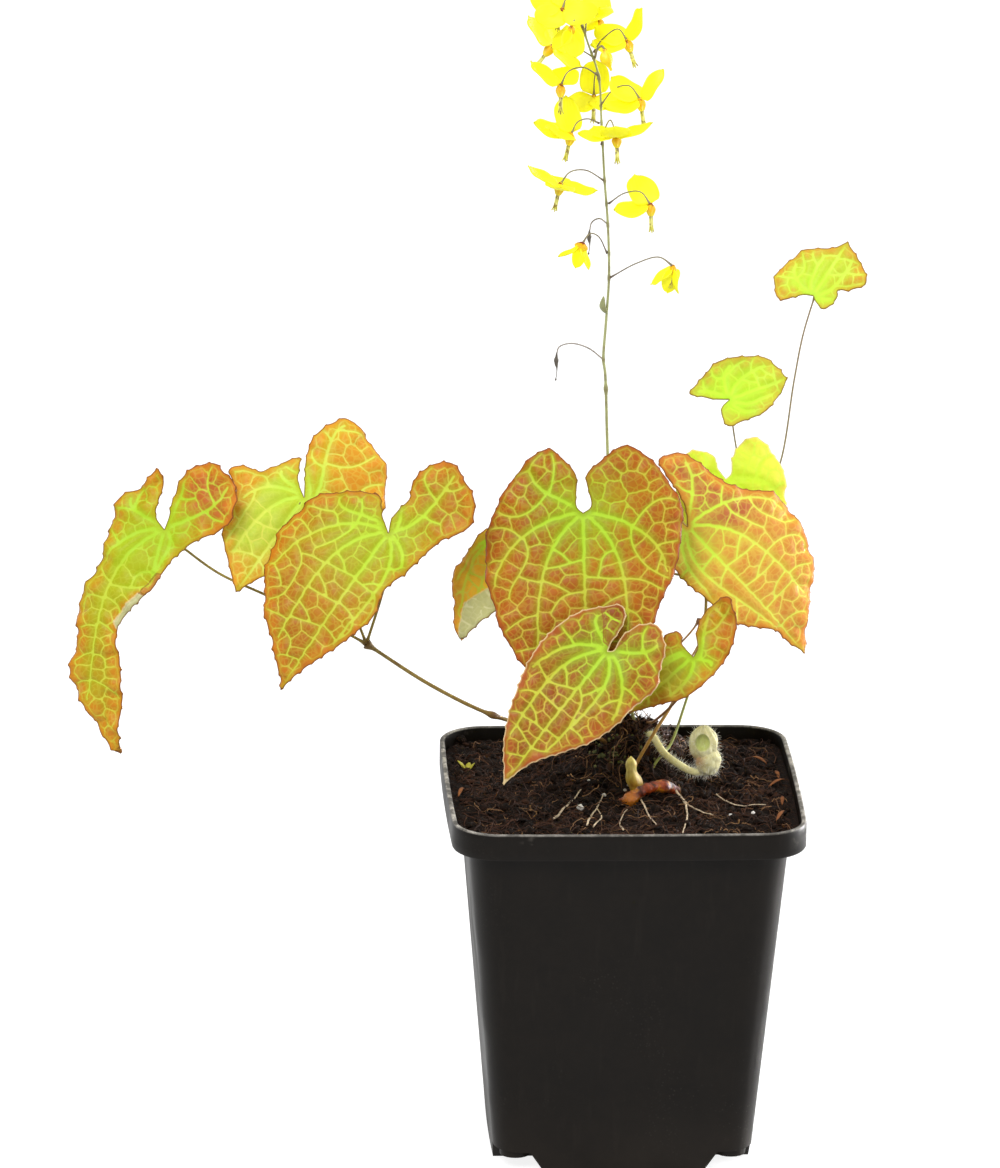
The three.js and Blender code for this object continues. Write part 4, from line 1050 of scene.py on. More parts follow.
LEAFLETS = [
    Leaflet(
        "leaflet_1", (-117, -12, 165.5), (-132.5, -31, 110), (-0.25, -0.9, 0.36),
        left=[(-2.5, -2.8), (-6, -3.2), (-10.5, -3.2), (-14.5, -5.5), (-9, -9), (-5.5, -13.5), (2, -14.5),
              (8, -14), (14.5, -15.5), (25, -18.5), (29.5, -16.5), (42.5, -16.5), (51.5, -9), (55, -6.5)],
        right=[(-3, 0.3), (-9, 0), (-12.5, 0.5), (-17, 3.5), (-19.5, 9), (-17.5, 13.5), (-13, 16.5),
               (-7, 17), (-4, 15), (-1, 11.8), (1.5, 8.3), (5.5, 5), (10, 3), (15, 1), (20, -2), (25, -5),
               (29, -5.5), (34, -4), (43, -1.5), (52, -1)],
        bends=[Bend((0, -6), -90, 26, 60, -1), Bend((8, 0), 0, 90, 40, -1), Bend((-2, 4), 140, 60, 30, 1)],
        finish=BladeFinish(ground=(198, 148, 20), deep=(184, 124, 16), rim=(214, 128, 24),
                           leafy=(176, 186, 18), blush=(196, 102, 40), glow=(168, 200, 16),
                           far_vein=(216, 220, 72), reach=24, fold=(196, 122, 60)),
        tints=[Tint((10, -9), 10, 0.8), Tint((38, -10), 13, 0.4), Tint((-13, 12), 8, -1.3)], wave=0.8,
        teeth=0.4, turned_pale=((17.5, 1.5), (17.2, -2.2), (20.3, -4.6), (26, -7.2), (29, -4)),
        turned_shaded=((10.5, 4.5), (11.5, 0.8), (17, -2), (17.3, 1)),
    ),
    Leaflet(
        "leaflet_2", (-81.5, -5, 172), (-99, -16.5, 150), (0.05, -0.9, 0.42),
        left=[(-2.5, -3.5), (-8, -7), (-4, -9.5), (0, -13), (2, -19), (4.5, -20.5), (9, -15), (16.5, -13),
              (20, -11.5), (25, -6)],
        right=[(-3, -2), (-8, -5.2), (-13, -7), (-18, -6), (-23, -3.5), (-23.5, 1), (-19, 13), (-14.5, 16),
               (-9, 18.5), (-1.5, 19.5), (5.5, 16.5), (12.5, 10.5), (18.5, 7), (23.5, 3)],
        bends=[Bend((0, -6), -100, 8, 28, -1), Bend((-4, 4), 150, 40, 30, -1)],
        finish=BladeFinish(ground=(226, 156, 34), deep=(212, 136, 26), rim=(222, 146, 34),
                           leafy=(192, 206, 66), blush=(214, 168, 104), glow=(186, 216, 40),
                           vein=(204, 238, 76), far_vein=(226, 224, 92), reach=14),
        tints=[Tint((3, -6), 7, 1.0), Tint((16, -6), 7, 0.7), Tint((8, -15), 4, -0.9),
               Tint((-16, 6), 9, 0.1)],
    ),
    Leaflet(
        "leaflet_3", (-60.5, -19.2, 166.9), (-89.5, -33.2, 129.4), (-0.12, -0.9, 0.42),
        left=[(-2.5, -3.5), (-6.5, -7.5), (-5.5, -10), (-3, -14.5), (2, -21), (8, -23.5), (14, -24.5),
              (20, -23.5), (28, -19.5), (35, -14), (41, -7.5), (45, -3.5)],
        right=[(-3.5, -1.5), (-10.5, -1), (-13.5, -2.5), (-20.5, -1), (-24, 4), (-21.5, 10), (-20, 14),
               (-15, 16.5), (-10.5, 15.5), (-5, 12), (5, 10), (12, 8), (20, 9.5), (29, 7), (35.5, 4.5),
               (41.5, 2)],
        bends=[Bend((0, -4), -90, 38, 40, -1), Bend((14, 0), 0, 70, 40, -1), Bend((-4, 4), 140, 40, 30, 1)],
        finish=BladeFinish(ground=(196, 130, 24), deep=(176, 106, 20), rim=(208, 122, 26),
                           leafy=(178, 166, 34), glow=(166, 190, 24), vein=(192, 226, 50),
                           far_vein=(214, 208, 72), reach=25, fold=(176, 88, 26)),
        tints=[Tint((8, -10), 9, 0.5), Tint((8, 0), 10, 0.3)], teeth=0.42,
        turned_shaded=((-6, -9.5), (-10.5, -10), (-13, -6), (-7, -3.6)),
    ),
    Leaflet(
        "leaflet_4", (-32, 2, 158.5), (-41, -1.5, 132.5), (-0.35, -0.9, 0.25),
        left=[(-2, -3), (0, -5), (5.5, -6.5), (11, -8.5), (16.5, -7), (22, -4.5), (25, -3)],
        right=[(-2.5, 3), (0, 6.5), (6.5, 8), (13, 7), (17, 6), (21, 3.5), (24.5, 1.5)],
        bends=[Bend((0, -2), -90, 20, 40, -1)],
        finish=BladeFinish(ground=(250, 184, 46), deep=(234, 162, 40), rim=(214, 134, 40),
                           glow=(200, 186, 44), reach=10),
        cell=4.0, turned_pale=((18.5, -3), (12.5, 1.8), (13, 10), (24, 7), (31, 1), (27.6, -0.9), (23, -2)),
    ),
    Leaflet(
        "leaflet_5", (-11, -12, 170), (-10, -30.5, 122), (-0.05, -0.93, 0.36),
        left=[(-1.5, -1.5), (-9.5, -1.5), (-13, -4), (-14.5, -5.5), (-16.5, -8), (-14, -13.5), (-10, -17),
              (-3, -22), (4, -25), (14.5, -25.5), (22, -24), (32.5, -20), (39, -15.5), (46, -8)],
        right=[(-1.5, 2), (-9.5, 1), (-13, 4.5), (-17, 11), (-15, 15.5), (-7.5, 22.5), (0.5, 26), (8, 25),
               (15.5, 23.5), (20.5, 20.5), (27, 18), (36.5, 13.5), (45, 6.5)],
        bends=[Bend((0, -6), -90, 45, 40, -1), Bend((0, 6), 90, 45, 40, -1), Bend((22, 0), 0, 80, 30, -1)],
        finish=BladeFinish(reach=26), teeth=0.25,
    ),
    Leaflet(
        "leaflet_6", (-5, -28.5, 138.5), (-32, -43, 108.5), (-0.1, -0.86, 0.5),
        left=[(-2.2, -0.6), (-5.4, -0.7), (-9, -1.6), (-11.4, -3.9), (-10.4, -6), (-8.2, -8), (-5, -11),
              (0.5, -13.5), (6.5, -14.5), (12.5, -14.5), (22, -12), (30, -9), (37.5, -4.5)],
        right=[(-1, 1), (-5, 0.5), (-10, 2), (-13, 5.5), (-9.5, 11), (-4.5, 13.5), (-0.5, 15.5), (8.5, 14),
               (14, 13.5), (20.5, 11.5), (27, 7.5), (35.5, 2)],
        bends=[Bend((0, -2), -90, 45, 40, 1), Bend((0, 4), 90, 34, 40, -1), Bend((14, 0), 0, 80, 30, -1)],
        finish=BladeFinish(ground=(166, 90, 18), deep=(144, 72, 14), rim=(180, 92, 38), glow=(144, 174, 22),
                           reach=19, edge=Edge.PALE),
        teeth=0.3, cell=4.1,
        turned_shaded=((-1.2, -2.4), (-5.2, -5.4), (-7.6, -8.4), (-14, -4), (-6, 2), (-1, 1)),
    ),
    Leaflet(
        "leaflet_7", (16.5, 4, 161.5), (49, 1, 128), (0.22, -0.92, 0.3),
        left=[(-3, -0.5), (-4.5, -2.5), (-7.5, -5), (-2.5, -9), (4.5, -10), (11, -10.5), (19, -9.5),
              (24.5, -9.5), (30.5, -6), (36, -2), (40.5, -1.5)],
        right=[(-3, 2.5), (-8.5, 4.5), (-17.5, 6.5), (-16.5, 9.5), (-14, 12.5), (-8, 14), (0, 15.5),
               (5, 18.5), (9.5, 22.5), (13.5, 24), (20, 23.5), (27, 21), (34, 15.5), (39, 8)],
        bends=[Bend((0, 8), 80, 40, 40, -1), Bend((18, 0), 0, 70, 40, -1)],
        finish=BladeFinish(ground=(222, 156, 62), deep=(212, 134, 54), rim=(226, 138, 46),
                           leafy=(216, 206, 66), blush=(190, 98, 60), vein=(212, 244, 72),
                           far_vein=(236, 230, 98), glow=(220, 226, 66), reach=22),
        tints=[Tint((6, 2), 7, 0.4), Tint((-10, 11), 11, -3.4)],
    ),
    Leaflet(
        "leaflet_8", (17.5, -14, 132.5), (1, -23, 120.5), (0.12, -0.85, 0.5),
        left=[(0, -4), (-1.5, -6.5), (0.5, -8.5), (3, -8.5), (6, -6.5), (10.5, -5), (17, -3)],
        right=[(-2, -0.7), (-5, -4.3), (-10, -6.5), (-17.5, -5.5), (-15.5, -1), (-12.5, 2.5), (-7.5, 5.5),
               (0, 7), (9, 6.5), (15, 3.5)],
        bends=[Bend((-5, 0), 180, 16, 40, 1), Bend((4, 0), 0, 30, 40, -1)],
        finish=BladeFinish(ground=(204, 134, 22), deep=(182, 112, 20), rim=(196, 106, 26),
                           leafy=(196, 184, 44), reach=11),
        tints=[Tint((6, 1), 6, 0.6)], cell=4.2, teeth=0.28,
    ),
    Leaflet(
        "leaflet_9", (27, 18, 170), (32.5, 11, 146.5), (0.08, -0.94, 0.3),
        left=[(-3.5, -1.5), (-6, -1.5), (-7.5, -3), (-9, -7), (-7, -11), (-1.5, -13), (6.5, -13.5),
              (15, -10.5), (21, -6)],
        right=[(-1, 1.5), (-4.5, 2.5), (-7.5, 5), (-9, 9), (-6, 12.5), (2.5, 15.5), (9, 14.5), (16, 11.5),
               (21.5, 6)],
        bends=[Bend((0, 5), 90, 25, 40, -1), Bend((0, -5), -90, 25, 40, -1)],
        finish=BladeFinish(ground=(248, 248, 84), deep=(234, 242, 66), rim=(248, 226, 84),
                           leafy=(210, 246, 50), vein=(222, 255, 62), far_vein=(236, 255, 90),
                           glow=(212, 252, 44), web=0.35, edge=Edge.PALE),
        slot="young_leaf", cell=4.0, teeth=0.35,
    ),
    Leaflet(
        "leaflet_10", (27.5, 20, 190.5), (42.5, 24, 195), (0.05, -0.85, 0.52),
        left=[(-2.5, -1.2), (-3.5, -3.5), (-3, -6.5), (2, -6.5), (7, -6.5), (11, -4.5), (14.5, -2)],
        right=[(-4, 1.5), (-6.5, 3), (-9, 5), (-6, 7), (-0.5, 10), (4.5, 10), (10, 8.5), (13.5, 6.5)],
        bends=[Bend((0, 2), 90, 18, 40, 1)],
        finish=BladeFinish(ground=(204, 216, 50), deep=(186, 208, 48), rim=(218, 170, 60),
                           leafy=(190, 230, 50), vein=(206, 250, 60), far_vein=(216, 244, 84),
                           glow=(186, 240, 46), web=0.35, reach=14),
        slot="young_leaf", cell=3.2, teeth=0.3, spacing=0.55,
    ),
    Leaflet(
        "leaflet_11", (48.5, 22, 217.5), (57.5, 28, 230), (-0.1, -0.85, 0.5),
        left=[(-1, -1.5), (-1.5, -4.5), (3.5, -5.5), (4.5, -4.5), (6, -7), (9.5, -10), (12, -8.5),
              (14.5, -4.5)],
        right=[(-1, 2), (-4.5, 5.5), (-5, 8), (-1.5, 11), (1.5, 12), (6, 10.5), (10, 7.5), (13.5, 2.5)],
        bends=[Bend((0, 3), 90, 14, 50, -1)],
        finish=BladeFinish(ground=(204, 220, 62), deep=(206, 196, 52), rim=(222, 136, 40),
                           leafy=(196, 230, 46), vein=(206, 250, 60), far_vein=(222, 244, 90),
                           glow=(188, 236, 50), web=0.4, reach=12),
        slot="young_leaf", cell=3.2, teeth=0.35, spacing=0.55,
    ),
]


# Pot


CORNERS = ((1, 1), (-1, 1), (-1, -1), (1, -1))


def square_ring(half: float, corner: float, bow: float = 0.4) -> Array:
    """The points of a square with round corners and sides that bow out a little, anticlockwise."""
    reach = half - corner
    turns = np.linspace(-math.pi / 2, 0, 12, endpoint=False)
    arc = np.stack([reach + corner * np.cos(turns), -reach + corner * np.sin(turns)], axis=1)
    shares = np.concatenate([[-1, -0.955], np.linspace(-0.822, 0.822, 13), [0.955]])
    side = np.stack([half + bow * (1 - shares**2), shares * reach], axis=1)
    quarter = np.vstack([arc, side])
    rows = []
    for k in range(4):
        c, s = round(math.cos(k * math.pi / 2)), round(math.sin(k * math.pi / 2))
        rows.append(quarter @ np.array([[c, s], [-s, c]]))
    return np.vstack(rows)


def patch(outline: Array, lines: Sequence[Sequence[Sequence[float]]], free: Array,
          holes: Sequence[Array] = ()) -> tuple[Array, Array]:
    """Triangles over a flat region.

    Args:
        outline: Its edge.
        lines: Paths that the triangles follow.
        free: Further points inside it.
        holes: Closed edges of openings in it.

    Returns:
        The points, those of the outline first, and the triangles, anticlockwise.
    """
    rows, links, total = [outline], [(k, (k + 1) % len(outline)) for k in range(len(outline))], len(outline)
    for hole in holes:
        links += [(total + k, total + (k + 1) % len(hole)) for k in range(len(hole))]
        rows.append(hole)
        total += len(hole)
    for line in lines:
        links += [(total + k, total + k + 1) for k in range(len(line) - 1)]
        rows.append(np.array(line, dtype=float))
        total += len(line)
    rows.append(free)
    points, triangles, _ = triangulate(np.vstack(rows), links)
    middle = points[triangles].mean(axis=1)
    keep = within(middle, outline)
    for hole in holes:
        keep &= ~within(middle, hole)
    triangles = triangles[keep]
    a, b, c = (points[triangles[:, k]] for k in range(3))
    area = (b[:, 0] - a[:, 0]) * (c[:, 1] - a[:, 1]) - (b[:, 1] - a[:, 1]) * (c[:, 0] - a[:, 0])
    triangles[area < 0] = triangles[area < 0][:, ::-1]
    return points, triangles


def at_height(plan: Array, z: object) -> Array:
    """Points of the plan, at one height or at a height each."""
    return np.column_stack([plan, np.broadcast_to(z, (len(plan),))])


def circle(at: Sequence[float], radius: float, count: int = 20) -> Array:
    """The points of a circle, anticlockwise."""
    angle = np.linspace(0, 2 * math.pi, count, endpoint=False)
    return np.stack([at[0] + radius * np.cos(angle), at[1] + radius * np.sin(angle)], axis=1)


@dataclass
class Pot:
    """The square nursery pot of thin black plastic."""

    height: float = 95.0
    rim_half: float = 45.0
    rim_corner: float = 12.0
    rim_wall: float = 1.3
    band: float = 7.0
    top: Pair = (40.7, 10.0)
    foot: Pair = (32.7, 8.0)
    wall: float = 1.1
    rise: float = 5.4
    middle_half: float = 20.3
    slant: float = 0.6
    drain_place: float = 27.6
    drain_radius: float = 2.5
    collar_radius: float = 3.9
    collar_drop: float = 1.9

    def body(self, z: float, inset: float = 0.0) -> Array:
        """The ring of the body at a height."""
        share = z / (self.height - self.band)
        half, corner = (low + (high - low) * share for low, high in zip(self.foot, self.top))
        return square_ring(half - inset, corner - inset)

    def underside(self, points: Array, grow: float = 0.0) -> Array:
        """The height of the stepped bottom at points of the plan."""
        least = np.min(np.abs(points), axis=1)
        return np.clip((least - self.middle_half + grow) / self.slant, grow, self.rise + grow)

    def wall_rows(self, inset: float) -> list[Array]:
        """The rings of the body from its stepped foot to the step under the rim."""
        foot = np.zeros(len(self.body(0.0)))
        for _ in range(12):
            rings = np.array([self.body(z, inset)[k] for k, z in enumerate(foot)])
            foot = self.underside(rings, inset)
        low = self.rise * 2.2
        levels = np.linspace(0, 1, 7)
        starts = [foot + (low - foot) * share for share in levels]
        starts += [np.full(len(foot), z) for z in np.linspace(low, self.height - self.band, 15)[1:]]
        rows = []
        for heights in starts:
            plan = np.array([self.body(z, inset)[k] for k, z in enumerate(heights)])
            rows.append(np.column_stack([plan, heights]))
        return rows

    def rim_rows(self) -> list[Array]:
        """The rings round the rim band, over its lip and down its inner wall."""
        step, full = self.height - self.band, self.rim_half
        inner = full - self.rim_wall
        spots = [(full - 0.9, step + 0.02), (full - 0.28, step + 0.1), (full, step + 0.5),
                 (full + 0.02, step + 2.4), (full + 0.02, self.height - 1.8), (full, self.height - 0.5),
                 (full - 0.1, self.height - 0.2), (full - 0.33, self.height), (inner + 0.35, self.height),
                 (inner + 0.08, self.height - 0.2), (inner, self.height - 0.5),
                 (inner, step + self.wall + 0.4), (inner - 0.4, step + self.wall)]
        return [at_height(square_ring(half, self.rim_corner - (full - half)), z) for half, z in spots]

    def finish(self) -> Material:
        """Warm black plastic with scuffs and dust, dust specks made heavier on the right corner as a painted
        highlight there, a painted floor reflection towards the foot, and a greyish rim edge that is partly
        wear and partly a painted lip highlight.
        """
        made, nodes = new_material("black_plastic")
        here = nodes.here()
        split = nodes.new("SeparateXYZ", {0: here})
        x, z = split.outputs["X"], split.outputs["Z"]
        long = nodes.drawn_out(here, 0.12)
        colour = nodes.mottle(here, 90.0, 0.6, (17, 13, 9), (23, 18, 13))
        streaks = nodes.fade(nodes.noise(long, 420.0, 3.0), 0.56, 0.76, 0.0, 0.12)
        patches = nodes.fade(nodes.noise(here, 38.0, 4.0, 0.6), 0.5, 0.72)
        specks = nodes.fade(nodes.cells(here, 950.0, "F1"), 0.12, 0.3, 1.0, 0.0)
        # Dust specks grow thicker towards the right corner: partly real dust, partly a painted highlight on
        # that corner.
        right = nodes.fade(x, 0.028, 0.04)
        dust_and_highlight = nodes.times(specks, patches, nodes.plus(nodes.times(right, 0.24), 0.05))
        # Lighter patches towards the foot: a painted reflection of the floor.
        low = nodes.times(nodes.fade(z, 0.0, 0.024, 0.3, 0.0), nodes.noise(here, 60.0, 4.0))
        # A light line along the top of the rim: partly wear, with chips that grow towards the sides, and
        # partly a painted lip highlight where it runs unbroken.
        rim_top = nodes.fade(z, 0.0945, 0.0950)
        chips = nodes.fade(nodes.noise(here, 260.0, 4.0, 0.65), 0.42, 0.62)
        fine = nodes.fade(nodes.noise(here, 1500.0, 2.0), 0.4, 0.6, 0.7, 1.0)
        beside = nodes.fade(nodes.math("ABSOLUTE", x), 0.036, 0.0425)
        chips = nodes.plus(nodes.times(chips, nodes.plus(nodes.times(beside, 0.45), 0.3)), 0.24)
        wear_and_lip_highlight = nodes.times(rim_top, chips, fine)
        smears = nodes.fade(nodes.noise(here, 110.0, 4.0, 0.7), 0.58, 0.75, 0.0, 0.4)
        smears = nodes.times(nodes.fade(z, 0.0885, 0.0925), smears)
        colour = nodes.paint(colour, (streaks, (48, 42, 36)), (dust_and_highlight, (142, 136, 126)), (low, (64, 56, 48)),
                             (wear_and_lip_highlight, (196, 190, 180)), (smears, (110, 104, 96)))
        rough = nodes.fade(nodes.noise(here, 75.0, 3.0), 0.3, 0.7, 0.32, 0.44)
        rough = nodes.plus(rough, nodes.times(wear_and_lip_highlight, 0.3))
        grain = nodes.plus(nodes.times(nodes.noise(here, 3200.0), 0.5), nodes.noise(long, 300.0))
        nodes.surface(colour, rough, nodes.bump(grain, 0.16, 0.0002), 0.2)
        return made

    def build(self) -> Piece:
        """Makes the pot as one closed skin, with its stepped floor and drain holes."""
        outer, inner = self.wall_rows(0.0), self.wall_rows(self.wall)
        rows = outer + self.rim_rows() + inner[::-1]
        shape = Shape()
        shape.add(np.vstack(rows), bands(len(rows), len(rows[0])))
        places = [(sx * self.drain_place, sy * self.drain_place) for sx, sy in CORNERS]
        holes = [circle(at, self.drain_radius) for at in places]
        for row, grow in ((outer[0], 0.0), (inner[0], self.wall)):
            radii = () if grow else (self.collar_radius, self.collar_radius + 0.2)
            collars = [circle(at, radius) for at in places for radius in radii]
            lines = [*self.breaks(row, grow), *[np.vstack([ring, ring[:1]]) for ring in collars]]
            plan, triangles = patch(row[:, :2], lines, np.zeros((0, 2)), holes)
            heights = self.underside(plan, grow)
            if not grow:
                near = np.min([np.linalg.norm(plan - at, axis=1) for at in places], axis=0)
                heights = np.where(near < self.collar_radius + 0.1, self.rise - self.collar_drop, heights)
            heights[: len(row)] = row[:, 2]
            shape.add(np.column_stack([plan, heights]), triangles if grow else triangles[:, ::-1])
        low, high = self.rise - self.collar_drop, self.rise + self.wall
        for ring in holes:
            shape.add(np.vstack([at_height(ring, z) for z in (low, high)]), bands(2, len(ring), True))
        piece = shape.build("nursery_pot", [self.finish()])
        crease(piece, 38)
        return place(piece, "pot_plastic", "pot")

    def breaks(self, row: Array, grow: float) -> list[Array]:
        """The lines in the plan where the bottom turns up to its raised corners."""
        lines = []
        low = self.middle_half - grow + self.slant * grow
        for level in (low, low + self.slant * self.rise):
            for sx, sy in CORNERS:
                beside = row[np.argmin(np.linalg.norm(row[:, :2] - (sx * 33, sy * level), axis=1)), :2]
                above = row[np.argmin(np.linalg.norm(row[:, :2] - (sx * level, sy * 33), axis=1)), :2]
                lines.append(np.array([beside, (sx * level, sy * level), above]))
        return lines


def crease(piece: Piece, degrees: float) -> None:
    """Keeps edges sharper than an angle crisp while the rest is shaded smooth."""
    mesh = piece.data
    gathered = bmesh.new()
    gathered.from_mesh(mesh)
    bmesh.ops.remove_doubles(gathered, verts=gathered.verts, dist=1e-6)
    bmesh.ops.recalc_face_normals(gathered, faces=gathered.faces)
    for edge in gathered.edges:
        edge.smooth = not (len(edge.link_faces) == 2 and edge.calc_face_angle(0.0) > math.radians(degrees))
    gathered.to_mesh(mesh)
    gathered.free()


# Compost and what lies on it


class Litter(Enum):
    """The kinds of thing that lie in the compost, by the number of their finish."""

    EARTH = 0
    FIBRE = 1
    BARK = 2
    PERLITE = 3
    MOSS = 4


@dataclass
class Compost:
    """The dark, very fibrous compost with its mound at the crown."""

    level: float = 91.5
    mound: Pair = (4.0, 18.0)
    rise: float = 12.0
    spread: float = 11.0
    half: float = 43.55
    corner: float = 10.6
    step: float = 0.72
    fibres: int = 1400
    crown_fibres: int = 260
    crown_chips: int = 90
    clods: int = 520
    chips: int = 210
    moss_crumbs: int = 46
    perlite: Sequence[tuple[float, float, float]] = (
        (-4.8, -5.6, 0.6), (-11.5, -15.2, 0.95), (-8.2, 2.5, 0.4), (1.8, -2.2, 0.5), (0.6, -5.2, 0.45),
        (11.0, -12.1, 0.45), (26.8, -19.7, 0.55), (32.4, -19.8, 0.5), (-26.0, -31.0, 0.4),
    )
    roots: Sequence[tuple[Sequence[Pair], float]] = (
        (((-18.6, -23.9), (-15.5, -16.0), (-10.5, -2.4)), 0.4),
        (((-10.6, -29.6), (-8.6, -20.0), (-6.2, -11.7), (-5.0, -6.0)), 0.35),
        (((-1.8, -36.1), (-1.9, -25.7), (0.5, -16.0)), 0.3),
        (((12.1, -2.0), (14.8, -8.6), (15.6, -20.0), (13.4, -36.3)), 0.42),
        (((14.8, -8.6), (17.6, -16.5), (22.0, -22.0)), 0.3),
        (((4.1, -6.8), (5.2, -18.0), (6.9, -30.6)), 0.36),
        (((-9.0, -31.0), (-6.5, -24.0), (-7.2, -14.0)), 0.28),
        (((24.0, -6.0), (27.0, -12.0), (36.0, -15.0)), 0.24),
    )

    scraps: Sequence[tuple[Pair, float, float]] = (
        ((40.2, 4.0), 0.8, 3.2), ((41.0, 12.5), 1.7, 2.6), ((39.0, -24.5), 1.2, 3.4),
        ((40.6, -10.0), 1.5, 2.4), ((-41.2, -0.9), 1.3, 2.8), ((37.0, 22.0), 2.3, 2.8),
    )

    def __post_init__(self) -> None:
        """Seeds the random draws."""
        self.draw = np.random.default_rng(41)

    def surface(self, plan: Array) -> Array:
        """The height of the crumbled surface at points of the plan."""
        apart = np.sum((plan - self.mound) ** 2, axis=1)
        height = self.level + self.rise * np.exp(-apart / (2 * self.spread**2))
        edge = np.clip((self.half - np.max(np.abs(plan), axis=1)) / 3, 0, 1)
        crumbs = 0.75 * hash_noise(plan * 0.45, 1) + 0.6 * hash_noise(plan * 1.1, 2)
        crumbs += 0.42 * hash_noise(plan * 2.6, 3) + 0.3 * np.abs(hash_noise(plan * 5.2, 4))
        return height + crumbs * (0.35 + 0.65 * edge) - 0.1

    def on_top(self, plan: Sequence[Sequence[float]], lift: object = 0.0) -> Array:
        """Places on the surface, or lifted off it."""
        rows = np.array(plan, dtype=float)
        return np.column_stack([rows, self.surface(rows) + lift])

    def ground(self) -> Piece:
        """Makes the body of the compost, with its crumbled top, filling the pot."""
        outline = square_ring(self.half, self.corner)
        side = np.arange(-self.half, self.half, self.step)
        grid = np.array([(x + (k % 2) * self.step / 2, y) for k, y in enumerate(side) for x in side])
        grid = grid + 0.2 * self.step * noise_rows(grid * 7, 5, 6)
        grid = grid[within(grid, square_ring(self.half - 0.5, self.corner - 0.5))]
        plan, triangles = patch(outline, [], grid)
        top = self.on_top(plan)
        shape = Shape()
        shape.add(top, triangles)
        count = len(outline)
        low = 6.9
        body = [at_height(Pot().body(level, 1.4), z) for level, z in ((88.0, 88.4), (14.0, 14.0), (7.0, low))]
        rows = [top[:count], at_height(outline, 89.5), *body]
        shape.add(np.vstack(rows), bands(len(rows), count, True))
        base, flat = patch(body[-1][:, :2], [], np.zeros((0, 2)))
        shape.add(at_height(base, low), flat[:, ::-1])
        return place(shape.build("compost_body", [self.earth()]), "compost", "soil")

    def tumble(self, tilt: float) -> Matrix:
        """A random turn round the upright, tilted a little."""
        turn = Matrix.Rotation(self.draw.uniform(0, math.pi), 4, "Z")
        return turn @ Matrix.Rotation(self.draw.uniform(-tilt, tilt), 4, "Y")

    def litter(self) -> Piece:
        """Makes the clods, bark, roots, perlite and bits of moss."""
        shape = Shape()
        draw = self.draw
        reach = self.half - 1.6
        for _ in range(self.clods):
            size = draw.uniform(0.45, 1.15) ** 1.6 * 1.25
            at = self.on_top([draw.uniform(-reach, reach, 2)], size * 0.25)[0]
            stretch = draw.uniform(0.6, 1.3, 3) * (1, 1, 0.8)
            detail = 2 if size > 0.9 else 1
            seed = draw.uniform(0, 50)
            shape.ball(at, size * stretch, detail, 0.3, seed, Litter.EARTH.value, tone=draw.uniform(0, 1))
        for _ in range(self.chips):
            length = draw.uniform(1.6, 5.2)
            at = self.on_top([draw.uniform(-reach + 1.5, reach - 1.5, 2)], 0.35)[0]
            turn = self.tumble(0.5)
            sizes = (length / 2, draw.uniform(0.4, 1.1), draw.uniform(0.2, 0.45))
            seed = draw.uniform(0, 50)
            shape.ball(at, sizes, 2, 0.32, seed, Litter.BARK.value, turn, tone=draw.uniform(0, 1))
        for _ in range(self.fibres):
            self.fibre(shape, draw.uniform(-reach, reach, 2), reach, 2.6)
        for _ in range(self.crown_fibres):
            self.fibre(shape, draw.normal(self.mound, (8.0, 6.5)), reach, 5.5)
        for _ in range(self.crown_chips):
            at = self.on_top([draw.normal(self.mound, (6.0, 5.0))], draw.uniform(0.3, 1.6))[0]
            turn = self.tumble(1.2)
            sizes = (draw.uniform(0.8, 2.6), draw.uniform(0.4, 1.0), draw.uniform(0.25, 0.5))
            seed = draw.uniform(0, 50)
            shape.ball(at, sizes, 2, 0.35, seed, Litter.BARK.value, turn, tone=draw.uniform(0, 1.3))
        for path, thick in self.roots:
            flat, run = curve(path, 0.7)
            flat = flat + 0.1 * noise_rows(flat, thick, thick + 4)
            lift = 0.8 + 0.4 * hash_noise(flat * 0.4, 3)
            radius = 0.72 * thick * (1.1 - 0.55 * run) * (1 + 0.15 * hash_noise(flat * 3, 9))
            rows = self.on_top(flat, lift)
            rows[:, 2] = 0.2 + np.convolve(np.pad(rows[:, 2], 3, "edge"), np.full(7, 1 / 7), "valid")
            shape.tube(rows, radius, 7, Litter.FIBRE.value, tone=1.34)
        for x, y, size in self.perlite:
            at = self.on_top([(x, y)], size * 0.45)[0]
            shape.ball(at, (size, size * 0.9, size * 0.8), 3, 0.3, x, Litter.PERLITE.value, tone=0.5)
        for _ in range(self.moss_crumbs):
            at = self.on_top([draw.normal((-1.0, 9.5), (4.2, 3.2))], 0.3)[0]
            sizes = draw.uniform(0.25, 0.7, 3)
            shape.ball(at, sizes, 1, 0.35, draw.uniform(0, 9), Litter.MOSS.value, tone=0.5)
        finishes = [self.earth(), self.fibre_finish(), self.bark(), self.perlite_finish(), self.moss()]
        return place(shape.build("compost_litter", finishes), "compost")

